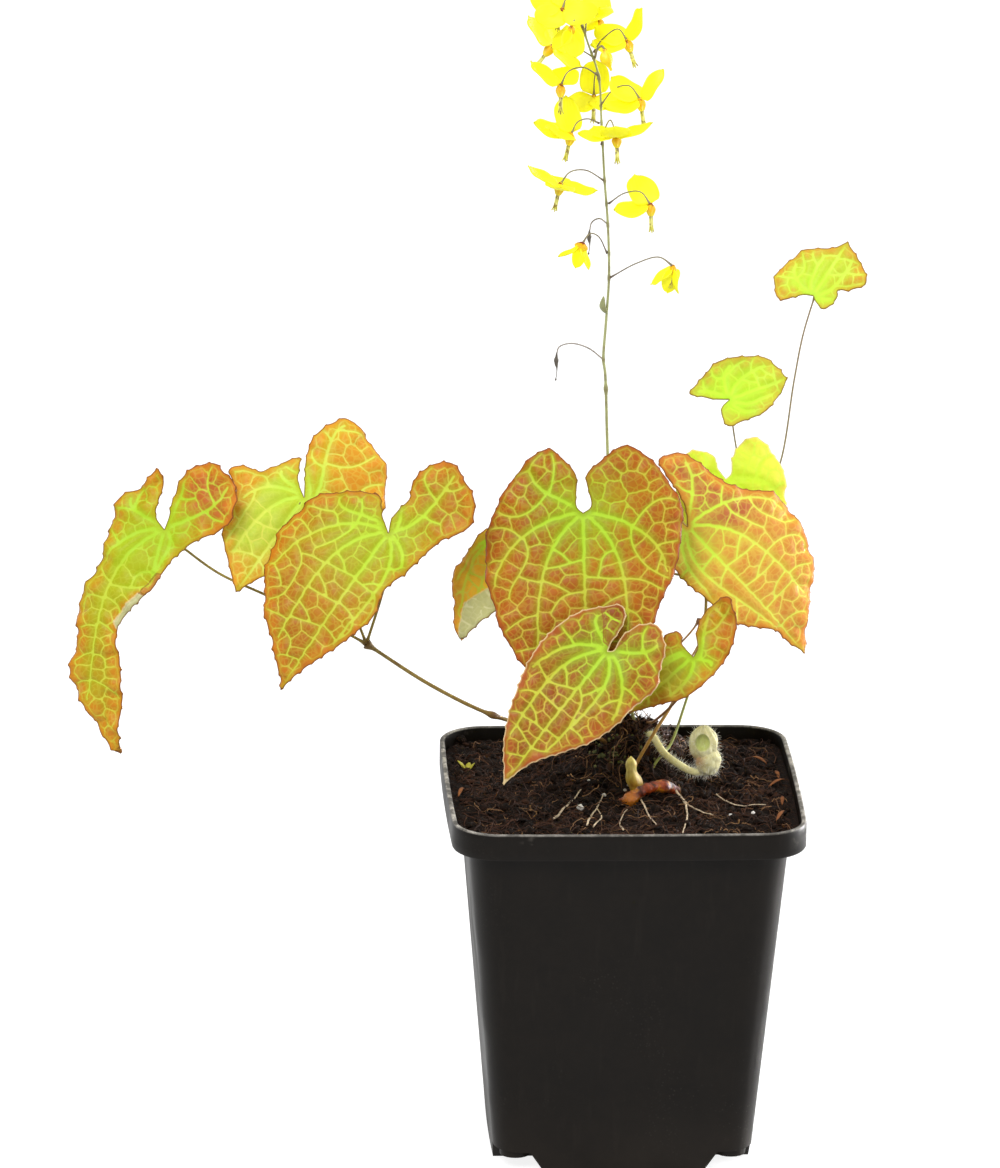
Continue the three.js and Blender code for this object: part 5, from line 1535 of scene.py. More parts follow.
    def fibre(self, shape: Shape, at: Array, reach: float, tall: float) -> None:
        """Adds one fine root that wanders over the surface.

        Args:
            shape: The mesh that it joins.
            at: Where it starts in the plan.
            reach: How far from the middle of the pot it may go.
            tall: How high its arch may be.
        """
        draw = self.draw
        way = draw.uniform(0, 2 * math.pi)
        turn = draw.normal(0, 0.13)
        steps = int(draw.uniform(6, 20))
        stride = draw.uniform(0.55, 1.0)
        path = [at]
        for _ in range(steps):
            way += turn + draw.normal(0, 0.16)
            at = at + stride * np.array([math.cos(way), math.sin(way)])
            if np.max(np.abs(at)) > reach or np.hypot(*(np.abs(at) - reach).clip(-8, 0) + 8) > 8:
                break
            path.append(at)
        if len(path) < 5:
            return
        run = np.linspace(0, 1, len(path))
        arch = draw.uniform(0.0, 1.0) ** 2.5 * tall
        lift = 0.1 + arch * np.sin(run * math.pi) * draw.uniform(0.5, 1)
        radius = draw.uniform(0.07, 0.2) * (1.1 - 0.6 * run)
        shape.tube(self.on_top(path, lift), radius, 3, Litter.FIBRE.value, tone=draw.uniform(0, 1))

    def seedling(self) -> Piece:
        """Makes the small yellow-green seedling and dry scraps beside the rim."""
        shape = Shape()
        foot = self.on_top([(-38.6, 18.5)])[0]
        for turn, length, lean in ((2.6, 5.2, 0.9), (1.3, 4.2, 1.3), (0.2, 3.6, 0.6), (3.6, 3.0, 0.4)):
            t = np.linspace(0, 1, 12)[:, None]
            way = np.array([math.cos(turn) * 0.55, math.sin(turn) * 0.4, 0.0])
            run = t * length
            path = foot + run * way + np.array([0, 0, 1.0]) * (run * 0.75 - run**2 * 0.05 * lean)
            shape.tube(path, 0.75 * np.sin(np.linspace(0.25, math.pi - 0.15, 12)), 8, 0, 0.3, tone=0.6)
        for at, turn, size in self.scraps:
            middle = self.on_top([at], 0.7)[0]
            t = np.linspace(-1, 1, 14)[:, None]
            way = np.array([math.cos(turn), math.sin(turn), 0.1])
            path = middle + t * size * way + np.array([0, 0, 1.1]) * (1 - t**2) * 0.6
            shape.tube(path, 0.55 * np.sin(np.linspace(0.2, math.pi - 0.2, 14)), 8, 1, 0.35, tone=0.6)
        finishes = [plain_finish("seedling", (198, 188, 70), (156, 150, 48), 0.55),
                    plain_finish("dry_scrap", (150, 92, 48), (104, 62, 36), 0.75)]
        return place(shape.build("compost_seedling", finishes), "compost")

    def earth(self) -> Material:
        """Dark brown peat with reddish and black grains."""
        made, nodes = new_material("dark_earth")
        here = nodes.here()
        colour = nodes.mottle(here, 330.0, 1.0, (12, 6, 2), (32, 16, 8))
        grains = nodes.fade(nodes.cells(here, 1500.0, "F1"), 0.1, 0.5, 1.0, 0.0)
        colour = nodes.mix(nodes.times(grains, 0.3), colour, (104, 72, 48))
        # Darker patches stand for shaded hollows among the crumbs: painted shade.
        hollow_shade = nodes.fade(nodes.noise(here, 620.0, 3.0), 0.36, 0.5, 0.75, 0.0)
        colour = nodes.mix(hollow_shade, colour, (12, 6, 3))
        height = nodes.plus(nodes.noise(here, 1400.0, 4.0, 0.7), nodes.times(grains, 0.5))
        nodes.surface(colour, 0.7, nodes.bump(height, 0.8, 0.0006), shine=0.14)
        return made

    def fibre_finish(self) -> Material:
        """Fine roots from dark reddish brown to straw."""
        made, nodes = new_material("root_fibre")
        tone = nodes.value("tone")
        patches = nodes.fade(nodes.noise(nodes.here(), 900.0), 0.35, 0.65, 0.0, 0.5)
        colour = nodes.paint((24, 12, 6), (nodes.fade(tone, 0.0, 0.8), (82, 46, 24)),
                             (nodes.fade(tone, 0.78, 1.0), (176, 132, 88)),
                             (nodes.fade(tone, 1.0, 1.4), (236, 214, 180)), (patches, (60, 36, 24)))
        nodes.surface(colour, 0.6, shine=0.35)
        return made

    def bark(self) -> Material:
        """Chips of bark, dark to reddish, with long grain."""
        made, nodes = new_material("bark_chip")
        here = nodes.here()
        grain = nodes.fade(nodes.noise(here, 1300.0, 3.0), 0.4, 0.62, 0.0, 0.6)
        colour = nodes.paint((20, 11, 6), (nodes.fade(nodes.value("tone"), 0.2, 1.0), (64, 36, 20)),
                             (grain, (30, 19, 13)))
        nodes.surface(colour, 0.9, nodes.bump(nodes.noise(here, 1800.0, 3.0), 0.6, 0.0004), 0.2)
        return made

    def perlite_finish(self) -> Material:
        """White, pitted grains."""
        made, nodes = new_material("perlite")
        here = nodes.here()
        pits = nodes.fade(nodes.cells(here, 1900.0, "F1"), 0.15, 0.5)
        colour = nodes.mix(pits, (168, 156, 140), (240, 236, 228))
        nodes.surface(colour, 0.85, nodes.bump(pits, 0.6, 0.0003))
        return made

    def moss(self) -> Material:
        """Grey-green crumbs of moss."""
        return plain_finish("moss", (112, 112, 74), (76, 82, 46), 0.9)

    def build(self) -> None:
        """Makes the compost and everything on it."""
        self.ground()
        self.litter()
        self.seedling()


def plain_finish(name: str, first: Tone, other: Tone, rough: float,
                 scale: float = 500.0, grain: float = 0.3) -> Material:
    """A soft mottled finish of two colours with a fine grain."""
    made, nodes = new_material(name)
    here = nodes.here()
    colour = nodes.mottle(here, scale, 0.9, first, other)
    normal = nodes.bump(nodes.noise(here, scale * 4), grain, 0.0002)
    nodes.surface(colour, rough, normal=normal, shine=0.3)
    return made


# Stalks


@dataclass(frozen=True)
class StalkFinish:
    """The colours of a stalk from its foot to its top, and of its joints."""

    foot: Tone = (140, 104, 58)
    top: Tone = (176, 168, 84)
    joint: Tone = (104, 70, 42)
    rough: float = 0.45

    def material(self, name: str) -> Material:
        """A smooth stalk with long faint streaks and darker joints."""
        made, nodes = new_material(name)
        here = nodes.here()
        streak = nodes.noise(nodes.drawn_out(here, 0.15), 1500.0, 3.0)
        colour = nodes.mix(nodes.fade(nodes.value("run"), 0.0, 1.0), self.foot, self.top)
        darker = nodes.mix(0.5, colour, self.joint)
        colour = nodes.mix(nodes.fade(streak, 0.4, 0.66, 0.0, 0.7), colour, darker)
        spots = nodes.fade(nodes.noise(here, 260.0, 3.0), 0.56, 0.68, 0.0, 0.5)
        colour = nodes.mix(spots, colour, self.joint)
        colour = nodes.mix(nodes.value("joint"), colour, self.joint)
        normal = nodes.bump(streak, 0.25, 0.0002)
        nodes.surface(colour, self.rough, normal=normal, shine=0.4)
        return made


@dataclass(frozen=True)
class Knot:
    """A swelling of a stalk."""

    at: Triple
    radius: float
    reach: float = 1.8


def stalk_tube(shape: Shape, points: Sequence[Sequence[float]], radius: Pair, knots: Sequence[Knot] = (),
               run: Pair = (0.0, 1.0), sides: int = 14, finish: int = 0, wander: float = 0.0) -> Array:
    """Adds a stalk with swellings along a smooth path.

    Args:
        shape: The mesh that it joins.
        points: The places that it goes through.
        radius: Its radius at the foot and at the top.
        knots: Its swellings.
        run: The values of run at its ends, which choose its colour.
        sides: How many sides it has.
        finish: Its material slot.
        wander: How far it strays from the smooth path.

    Returns:
        Its middle line, settled in the pot.
    """
    path, share = curve(points, 0.7)
    if wander:
        sway = noise_rows(path * 0.11, *(path[0, 0] + k for k in range(3)))
        path = path + wander * sway * np.sin(share * math.pi)[:, None]
    thick = radius[0] + (radius[1] - radius[0]) * share
    thick = thick * (1 + 0.05 * hash_noise(path * 0.8, path[0, 1]))
    joint = np.zeros(len(path))
    for knot in knots:
        near = np.exp(-np.sum((path - np.array(knot.at)) ** 2, axis=1) / (2 * (knot.reach * 0.5) ** 2))
        thick = thick + np.maximum(knot.radius - thick, 0) * near
        joint = np.maximum(joint, near)
    settled = settle(path)
    shape.tube(settled, thick, sides, finish, run=run[0] + (run[1] - run[0]) * share, joint=joint * 0.7)
    return settled


@dataclass
class LeafStalk:
    """The stalk of a compound leaf, from the soil through its forks to each leaflet."""

    name: str
    stem: Sequence[Triple]
    radius: Pair
    knots: Sequence[Knot]
    stalklets: dict[str, Sequence[Triple]]
    finish: StalkFinish = field(default_factory=StalkFinish)

    def build(self, leaflets: dict[str, Leaflet]) -> Piece:
        """Makes the stalk with its stalklets, which end behind the notches of their leaflets."""
        shape = Shape()
        stalk_tube(shape, self.stem, self.radius, self.knots, (0.0, 0.7))
        fork = self.stem[-1]
        for name, route in self.stalklets.items():
            leaf = leaflets[name]
            seat = leaf.fold(np.array([[1.4, 0.0]]), np.array([0.0]))[0] - leaf.up * 0.5
            points = [fork, *route, seat - leaf.up * 1.5 - leaf.along * 0.5, seat, seat + leaf.along * 1.2]
            end = Knot(tuple(seat - leaf.up * 1.7), 0.5, 2.2)
            start = Knot(tuple(np.array(fork)), 0.75, 1.6)
            thick = (self.radius[1] * 0.8, self.radius[1] * 0.7)
            stalk_tube(shape, points, thick, [start, end], (0.7, 1.0), 10)
        skin = self.finish.material(self.name + "_skin")
        return place(shape.build(self.name + "_stem", [skin]), "leaf_stalk", self.name)


@dataclass
class FlowerStalk:
    """The flower stalk with its joints, a bract and two spent capsules."""

    path: Sequence[Triple]
    radius: Pair
    joints: Sequence[Triple]
    spent: Sequence[tuple[Sequence[Triple], Triple, float]]
    bract: Sequence[Triple]
    scar: Triple
    finish: StalkFinish = field(default_factory=StalkFinish)

    def build(self) -> Piece:
        """Makes the stalk."""
        shape = Shape()
        knots = [Knot(at, 0.46, 0.9) for at in self.joints]
        knots.append(Knot(self.scar, 0.72, 1.4))
        stalk_tube(shape, self.path, self.radius, knots, (0.0, 1.0), 14)
        for route, hang, length in self.spent:
            stalk_tube(shape, [*route, hang], (0.2, 0.17), (), (1.0, 1.0), 8, 1)
            x, y, z = hang
            down = [(x, y, z + 0.6), (x - 0.1, y, z - length * 0.5), (x + 0.1, y, z - length),
                    (x - 0.2, y, z - length * 1.7)]
            path, share = curve(down, 0.25)
            body = 0.1 + 0.5 * bell(share, 0.3, 0.2) * (1 + 0.1 * np.sin(share * 30))
            body = body + 0.16 * bell(share, 0.97, 0.04)
            shape.tube(settle(path), body, 10, 1, run=0.2, joint=0.8)
        path, share = curve(self.bract, 0.3)
        thick = 0.15 + 0.95 * np.sin(share**0.7 * math.pi) ** 0.8
        shape.tube(settle(path), thick, 12, 0, 0.45, run=1.0, joint=0.0)
        finishes = [self.finish.material("raceme_skin"),
                    StalkFinish((150, 140, 124), (164, 154, 144), (78, 72, 66)).material("pedicel_skin")]
        return place(shape.build("flower_stalk_stem", finishes), "flower_stem", "flower_stalk")


# Flowers


RACEME = ((3, 19.5, 94), (4.5, 18, 104), (4, 17, 107), (1, 14, 125.5), (-2.5, 10, 156), (-4, 8, 180.5),
          (-5, 7, 201.5), (-5.5, 6.5, 205), (-5, 6, 215.5), (-4.5, 5, 227.5), (-5, 5, 241), (-6, 5, 252.5),
          (-7, 5, 267.5), (-8, 5, 280), (-11, 5, 289), (-13, 5, 295))
RACEME_RADIUS = (0.5, 0.24)


def pedicel_foot(route: Sequence[Triple]) -> Triple:
    """Where a pedicel leaves the skin of the flower stalk."""
    foot, following = np.array(route[0], dtype=float), np.array(route[1], dtype=float)
    low, high = RACEME[0][2], RACEME[-1][2]
    share = (foot[2] - low) / (high - low)
    away = following - foot
    away[2] = 0
    thick = RACEME_RADIUS[0] + (RACEME_RADIUS[1] - RACEME_RADIUS[0]) * share
    at = foot + away / np.linalg.norm(away) * thick * 0.4
    return (float(at[0]), float(at[1]), float(at[2]))


@dataclass
class Flower:
    """One nodding flower: rounded yellow sepals, a small cup and a column of stamens."""

    name: str
    at: Triple
    axis: Triple
    sepals: Sequence[Pair]
    pedicel: Sequence[Triple]
    size: float = 1.0
    length: float = 9.5
    width: float = 7.4
    twist: float = 17.0
    cup_size: float = 0.8

    def __post_init__(self) -> None:
        """Works out the directions of the flower and seeds its random draws."""
        down = unit(np.array(self.axis, dtype=float))
        right = unit(np.array([1.0, 0, 0]) - down * down[0])
        self.turn = np.stack([right, -np.cross(down, right), -down])
        self.draw = np.random.default_rng(int(abs(self.at[0]) * 31 + self.at[2]))

    def set_in(self, local: Array) -> Array:
        """Settled places of points given in the flower's own directions."""
        return settle(np.array(self.at) + (local * self.size) @ self.turn)

    def sepal(self, shape: Shape, around: float, lift: float) -> None:
        """Adds one broad, rounded and cupped sepal with a slightly waved edge."""
        steps, half_steps = 15, 6
        s = np.linspace(0, 1, steps)[:, None] ** 0.9
        t = np.linspace(-1, 1, 2 * half_steps + 1)[None, :]
        width = self.width * self.draw.uniform(0.94, 1.05) / 2
        outline = (1 - np.abs(2 * s**0.86 - 1) ** 2.5) ** 0.5 * width + 0.28 * (1 - s)
        long = self.length * self.draw.uniform(0.95, 1.03)
        x = s * long * (1 - 0.05 * t**2 * s) + 0.35
        y = t * outline
        seed = self.draw.uniform(0, 20)
        cup = -0.95 * np.sin(math.pi * s) * (1 - 0.9 * t**2)
        curl = 0.9 * s**3 * self.draw.uniform(-0.4, 1.0)
        wave = 0.24 * np.abs(t) ** 2 * np.sin(s * 8 + seed) + 0.14 * np.sin(s * 3 + t * 3 + seed) * s
        ridge = 0.05 * np.cos(t * 16) * np.sin(math.pi * s)
        z = cup + curl + wave + ridge
        grid = np.stack([np.broadcast_to(x, z.shape), y, z], axis=2).reshape(-1, 3)
        tilt = self.twist * math.cos(math.radians(around))
        turn = about(0, tilt) @ about(1, -lift) @ about(2, -around)
        layers = [(grid + (0, 0, offset)) @ turn for offset in (0.14, -0.14)]
        columns = 2 * half_steps + 1
        total = steps * columns
        faces = []
        for k in range(steps - 1):
            for i in range(columns - 1):
                a = k * columns + i
                faces.append((a, a + columns, a + columns + 1, a + 1))
                faces.append((a + total, a + total + 1, a + total + columns + 1, a + total + columns))
        border = [*range(0, total, columns), *range(total - columns + 1, total)]
        border += [*range(total - columns - 1, 0, -columns), *range(columns - 2, 0, -1)]
        faces += [(a, a + total, b + total, b) for a, b in zip(border, border[1:] + border[:1])]
        share = np.tile(np.repeat(s[:, 0], columns), 2)
        side = np.tile(np.tile(t[0], steps), 2)
        shape.add(self.set_in(np.vstack(layers)), faces, 0, run=share, side=side)

    def cup(self, shape: Shape) -> None:
        """Adds the four-lobed cup and the stamens in it."""
        levels = [(0.5, 0.45), (0.1, 0.75), (-0.3, 1.15), (-0.7, 1.4), (-1.1, 1.48), (-1.5, 1.36),
                  (-2.0, 1.12), (-2.5, 0.88), (-2.9, 0.7), (-3.0, 0.46), (-2.6, 0.36)]
        count = 24
        angle = np.linspace(0, 2 * math.pi, count, endpoint=False)
        rows, run = [], []
        for k, (z, r) in enumerate(levels):
            lobes = self.cup_size * (1 + 0.13 * np.cos(4 * angle + 0.6) * min(1, k / 3))
            rows.append(np.stack([r * lobes * np.cos(angle), r * lobes * np.sin(angle),
                                  np.full(count, z) - 0.22 * np.cos(4 * angle + 0.6) * (2 < k < 8)], axis=1))
            run.append(np.full(count, z))
        faces = bands(len(levels), count, True)
        faces.append(tuple(range(count)))
        faces.append(tuple(range(len(levels) * count - 1, (len(levels) - 1) * count - 1, -1)))
        shape.add(self.set_in(np.vstack(rows)), faces, 1, run=np.concatenate(run), side=0.0)
        for turn in range(4):
            a = turn * math.pi / 2 + 0.15
            way = np.array([math.cos(a), math.sin(a), 0])
            tip = self.draw.uniform(0.25, 0.5)
            local = np.array([way * 0.3 + (0, 0, -1.6), way * 0.34 + (0, 0, -3.4), way * 0.3 + (0, 0, -5.6),
                              way * (0.26 + tip) + (0, 0, -7.1)])
            path, share = curve(local, 0.35)
            thick = self.size * (0.16 + 0.1 * bell(share, 0.62, 0.2))
            shape.tube(self.set_in(path), thick, 7, 2, run=share, side=0.0)
        path, share = curve([(0, 0, -1.0), (0, 0, -5.0), (0.1, 0, -7.4)], 0.4)
        shape.tube(self.set_in(path), self.size * (0.22 - 0.1 * share), 8, 2, run=share, side=0.0)

    def build(self, finishes: Sequence[Material]) -> Piece:
        """Makes the flower with its pedicel."""
        shape = Shape()
        for around, lift in self.sepals:
            self.sepal(shape, around, lift)
        self.cup(shape)
        route = [pedicel_foot(self.pedicel), *self.pedicel[1:], self.at]
        path, share = curve(route, 0.6)
        radius = 0.17 + 0.14 * np.exp(-((share * 12) ** 2)) + 0.16 * np.exp(-(((1 - share) * 9) ** 2))
        shape.tube(settle(path), radius, 9, 3, run=share, joint=0.6 * np.exp(-((share * 14) ** 2)))
        return place(shape.build(self.name + "_bloom", finishes), "petal", self.name)


def petal_finishes() -> list[Material]:
    """The finishes of a flower: sepals, cup, stamens and pedicel."""
    sepal, nodes = new_material("yellow_sepal")
    here = nodes.here()
    run = nodes.value("run")
    colour = nodes.mottle(here, 240.0, 0.55, (255, 253, 40), (252, 246, 28))
    colour = nodes.mix(nodes.fade(run, 0.0, 0.25, 0.5, 0.0), colour, (232, 216, 28))
    lines = nodes.math("SINE", nodes.times(nodes.value("side"), 22.0))
    colour = nodes.mix(nodes.fade(lines, 0.7, 1.0, 0.0, 0.12), colour, (232, 214, 22))
    # The sepals glow a little of their own: painted light standing in for light through the thin sepals and
    # lifting their shaded sides.
    nodes.surface(colour, 0.5, nodes.bump(lines, 0.1, 0.0001), shine=0.3,
                  Emission_Color=rgb((255, 248, 30)), Emission_Strength=0.13)
    cup, nodes = new_material("orange_cup")
    here = nodes.here()
    run = nodes.value("run")
    colour = nodes.mix(nodes.fade(run, -2.8, -0.6), (250, 224, 44), (244, 186, 14))
    mark = nodes.times(nodes.fade(run, -0.6, 0.1), nodes.fade(nodes.noise(here, 1200.0), 0.42, 0.55))
    colour = nodes.mix(mark, colour, (132, 44, 14))
    nodes.surface(colour, 0.4, shine=0.4)
    stamen, nodes = new_material("pale_stamen")
    run = nodes.value("run")
    colour = nodes.mix(nodes.fade(run, 0.05, 0.4), (104, 58, 24), (230, 226, 132))
    colour = nodes.mix(nodes.fade(run, 0.6, 0.8), colour, (214, 208, 80))
    dark = nodes.fade(nodes.noise(nodes.here(), 900.0, 2.0), 0.52, 0.62, 0.0, 0.7)
    colour = nodes.mix(dark, colour, (120, 80, 40))
    nodes.surface(colour, 0.55)
    stalk = StalkFinish((128, 118, 104), (150, 140, 112), (84, 64, 56)).material("pedicel")
    return [sepal, cup, stamen, stalk]


@dataclass
class FlowerBud:
    """The closed bud that hangs low among the top flowers."""

    pedicel: Sequence[Triple] = ((-9, 5, 284.5), (-8.4, 3.5, 287.3), (-7.3, 2.5, 288.2))
    body: Sequence[Triple] = ((-6.8, 2, 287.6), (-6.3, 2, 285.4), (-5.5, 2, 283.4), (-4.9, 2, 282))

    def build(self, finishes: Sequence[Material]) -> Piece:
        """Makes the bud."""
        shape = Shape()
        route = [pedicel_foot(self.pedicel), *self.pedicel[1:], self.body[0]]
        path = resample(smooth_path(route), 0.5)
        shape.tube(settle(path), 0.32, 9, 3, run=np.linspace(0, 1, len(path)), joint=0.0)
        path, share = curve(self.body, 0.25)
        radius = 0.45 + 1.25 * np.exp(-((share - 0.42) / 0.27) ** 2)
        run = -2.6 + 3.2 * np.exp(-share * 9)
        shape.tube(settle(path), radius * (1 - 0.3 * share**3), 24, 1, run=run, side=0.0)
        for turn in range(4):
            a = turn * math.pi / 2 + 0.5
            lift = path + np.array([math.cos(a), math.sin(a), 0.05]) * (radius * 0.42)[:, None]
            part = lift[: int(len(path) * 0.8)]
            shape.tube(settle(part), radius[: len(part)] * 0.62, 12, 1, run=-2.2, side=0.0)
        return place(shape.build("flower_bud_body", finishes), "petal", "flower_bud")


# Crown


@dataclass
class YoungShoot:
    """The soft young shoot that arches over the compost and ends in one rolled, hairy leaf."""

    path: Sequence[Triple] = ((9, 16.5, 93), (8.2, 14, 102), (9, 9, 103.5), (11.5, 4, 100.8), (15.5, 0, 98.8),
                              (19, -4, 98.3), (22.5, -6, 99.3), (24, -6, 102))
    radius: float = 1.0
    hood: Triple = (21.0, -6.0, 106.6)
    hood_size: Triple = (3.6, 2.9, 4.6)
    hollow: Triple = (20.6, -8.9, 107.6)
    hollow_size: Triple = (1.9, 2.2, 2.3)
    fold_at: Triple = (22.3, -6.2, 102.0)
    fold_size: Triple = (3.2, 3.0, 3.8)

    def rolled_leaf(self, shape: Shape) -> None:
        """Adds the leaf, rolled to a hood with a green hollow at its front."""
        rows, faces = ball_mesh(6)
        size = np.array(self.hood_size) * (1 + 0.035 * hash_noise(rows * 3.1, 2)[:, None])
        points = np.array(self.hood) + rows * size
        pleat = 0.16 * np.sin(np.arctan2(rows[:, 1], rows[:, 0]) * 9 + rows[:, 2] * 3)
        points = points + rows * pleat[:, None]
        from_hollow = (points - np.array(self.hollow)) / np.array(self.hollow_size)
        depth = np.linalg.norm(from_hollow, axis=1)
        inside = depth < 1
        back = np.array([0.15, 1.0, 0.0])
        moved = points.copy()
        for k in np.where(inside)[0]:
            start, way = from_hollow[k], back / np.array(self.hollow_size)
            a, b, c = way @ way, 2 * start @ way, start @ start - 1
            moved[k] = points[k] + back * ((-b + math.sqrt(max(b * b - 4 * a * c, 0))) / (2 * a))
        hollowed = np.clip((1.06 - depth) / 0.12, 0, 1)
        low = np.clip((104.5 - points[:, 2]) / 2.5, 0, 1) * np.clip((21.5 - points[:, 0]) / 2, 0, 1)
        shape.add(settle(moved), faces, 1, green=hollowed * 0.55, brown=low)
        rows, faces = ball_mesh(5)
        around = np.arctan2(rows[:, 1], rows[:, 2])
        wrinkle = 0.05 * hash_noise(rows * 3.7, 5) + 0.03 * np.sin(around * 7 + rows[:, 0] * 4)
        points = np.array(self.fold_at) + rows * np.array(self.fold_size) * (1 + wrinkle)[:, None]
        brown = np.clip((22.0 - points[:, 0]) / 2.2, 0, 1) * np.clip((points[:, 2] - 100) / 2, 0, 1)
        shape.add(settle(points), faces, 1, green=0.0, brown=brown)

    def hairs(self, shape: Shape) -> None:
        """Adds fine white hairs on the stem and the leaf."""
        draw = np.random.default_rng(8)
        path = resample(smooth_path(self.path), 0.3)
        ahead = unit(np.gradient(path, axis=0))
        count = 1100
        for k in range(count):
            if k < 620:
                i = int(draw.uniform(0.2, 0.98) * len(path))
                way = draw.normal(0, 1, 3)
                way = unit(way - ahead[i] * (way @ ahead[i]))
                root = path[i] + way * self.radius * 0.9
            else:
                way = unit(draw.normal(0, 1, 3))
                middle, size = (self.hood, self.hood_size) if k % 2 else (self.fold_at, self.fold_size)
                root = np.array(middle) + way * np.array(size)
                if np.linalg.norm((root - self.hollow) / np.array(self.hollow_size)) < 1.05:
                    continue
            length = draw.uniform(0.5, 1.4)
            bend = draw.normal(0, 0.25, 3)
            t = np.linspace(0, 1, 4)[:, None]
            hair = root + way * length * t + bend * length * t**2
            shape.tube(settle(hair), 0.045 * (1 - 0.7 * t[:, 0]), 3, 2, green=0.0, brown=0.0)

    def build(self) -> Piece:
        """Makes the shoot."""
        shape = Shape()
        stalk_tube(shape, self.path, (self.radius, self.radius * 0.88), (), (0.0, 1.0), 16)
        self.rolled_leaf(shape)
        self.hairs(shape)
        leaf, nodes = new_material("felted_leaf")
        here = nodes.here()
        colour = nodes.mottle(here, 420.0, 0.9, (236, 232, 186), (216, 208, 146))
        colour = nodes.mix(nodes.times(nodes.value("brown"), 0.8), colour, (176, 120, 74))
        colour = nodes.mix(nodes.value("green"), colour, (186, 206, 84))
        rib = nodes.fade(nodes.noise(nodes.drawn_out(here, 0.2), 1300.0, 3.0),
                         0.4, 0.62)
        colour = nodes.mix(nodes.times(rib, 0.25), colour, (160, 140, 86))
        nodes.surface(colour, 0.75, nodes.bump(rib, 0.35, 0.0003), Sheen_Weight=0.25)
        skin = StalkFinish((250, 244, 176), (244, 240, 186), (222, 206, 134), 0.6).material("shoot_skin")
        hair = plain_finish("white_hair", (246, 244, 232), (228, 224, 206), 0.6)
        return place(shape.build("young_shoot_body", [skin, leaf, hair]), "shoot", "young_shoot")


@dataclass
class CrownBud:
    """The pale, pointed bud beside the rhizome, in its scales."""

    path: Sequence[Triple] = ((4.5, -5, 91), (3.8, -5, 95), (2.8, -4.6, 98.8), (2.6, -4.2, 102.6))

    def build(self) -> Piece:
        """Makes the bud."""
        shape = Shape()
        path, share = curve(self.path, 0.25)
        body = 1.15 + 0.6 * bell(share, 0.42, 0.22) + 0.25 * bell(share, 0.82, 0.12)
        body = body * (1 - np.clip((share - 0.82) / 0.18, 0, 1) ** 2.6)
        shape.tube(settle(path), np.maximum(body, 0.12), 18, 0, run=share, joint=0.0)
        for turn, low, high in ((0.4, 0.2, 0.72), (2.5, 0.28, 0.82), (4.5, 0.34, 0.92)):
            part = slice(int(low * len(path)), int(high * len(path)))
            span = np.linspace(0, 1, len(path[part]))
            out = np.array([math.cos(turn), math.sin(turn), 0.0]) * (body[part] * 0.42)[:, None]
            scale = body[part] * 0.85 * np.sin(np.clip(span * 0.85 + 0.15, 0, 1) * math.pi) ** 0.5
            tip = np.where(span > 0.85, 0.5, 0.0)
            shape.tube(settle(path[part] + out), np.maximum(scale, 0.1), 14, 0, run=span, joint=tip)
        skin = StalkFinish((214, 176, 58), (246, 228, 128), (170, 116, 46), 0.4).material("bud_scale")
        return place(shape.build("crown_bud_body", [skin]), "shoot", "crown_bud")


@dataclass
class Rhizome:
    """The bare orange-brown rhizome with its bright knob."""

    path: Sequence[Triple] = ((-1, -8, 90), (2.5, -9.5, 93), (6, -8.5, 95), (9.5, -6.5, 95.3), (13, -4.5, 94),
                              (15.5, -3, 91))
    knobs: Sequence[tuple[Triple, float]] = (
        ((-1, -8, 90), 1.7), ((2.5, -9.8, 92.6), 2.0), ((11, -5.8, 95), 1.9), ((15.5, -3, 91), 1.5))

    def build(self) -> Piece:
        """Makes the rhizome."""
        shape = Shape()
        path = resample(smooth_path(self.path), 0.3)
        ring = 1.45 + 0.12 * np.sin(lengths(path) * 3.4) + 0.2 * hash_noise(path * 0.9, 3)
        for at, radius in self.knobs:
            near = np.exp(-np.sum((path - np.array(at)) ** 2, axis=1) / (2 * 0.95**2))
            ring = ring + (radius * 0.95 - ring) * near
        shape.tube(settle(path), ring, 20, 0)
        for k, (at, radius) in enumerate(self.knobs):
            shape.ball(settle(np.array([at]))[0], np.array([1.0, 0.95, 0.9]) * radius, 4, 0.12, k)
        made, nodes = new_material("rhizome_bark")
        here = nodes.here()
        colour = nodes.mottle(here, 380.0, 1.0, (178, 72, 16), (96, 32, 10))
        knob = nodes.new("VectorMath", {0: here, 1: (0.0019, -0.0098, 0.0926)}, operation="DISTANCE")
        bright = nodes.fade(knob.outputs["Value"], 0.0012, 0.003, 0.9, 0.0)
        bright = nodes.most(bright, nodes.fade(nodes.noise(here, 260.0, 2.0), 0.56, 0.68, 0.0, 0.7))
        colour = nodes.mix(bright, colour, (240, 150, 40))
        earthy = nodes.fade(nodes.noise(here, 340.0, 3.0, 0.65), 0.47, 0.58, 0.0, 0.85)
        earthy = nodes.times(earthy, nodes.fade(knob.outputs["Value"], 0.0015, 0.0035))
        colour = nodes.mix(earthy, colour, (44, 22, 12))
        height = nodes.noise(here, 1500.0, 4.0, 0.65)
        nodes.surface(colour, 0.3, nodes.bump(height, 0.5, 0.0005), shine=0.6)
        return place(shape.build("rhizome_body", [made]), "rhizome_bark", "rhizome")


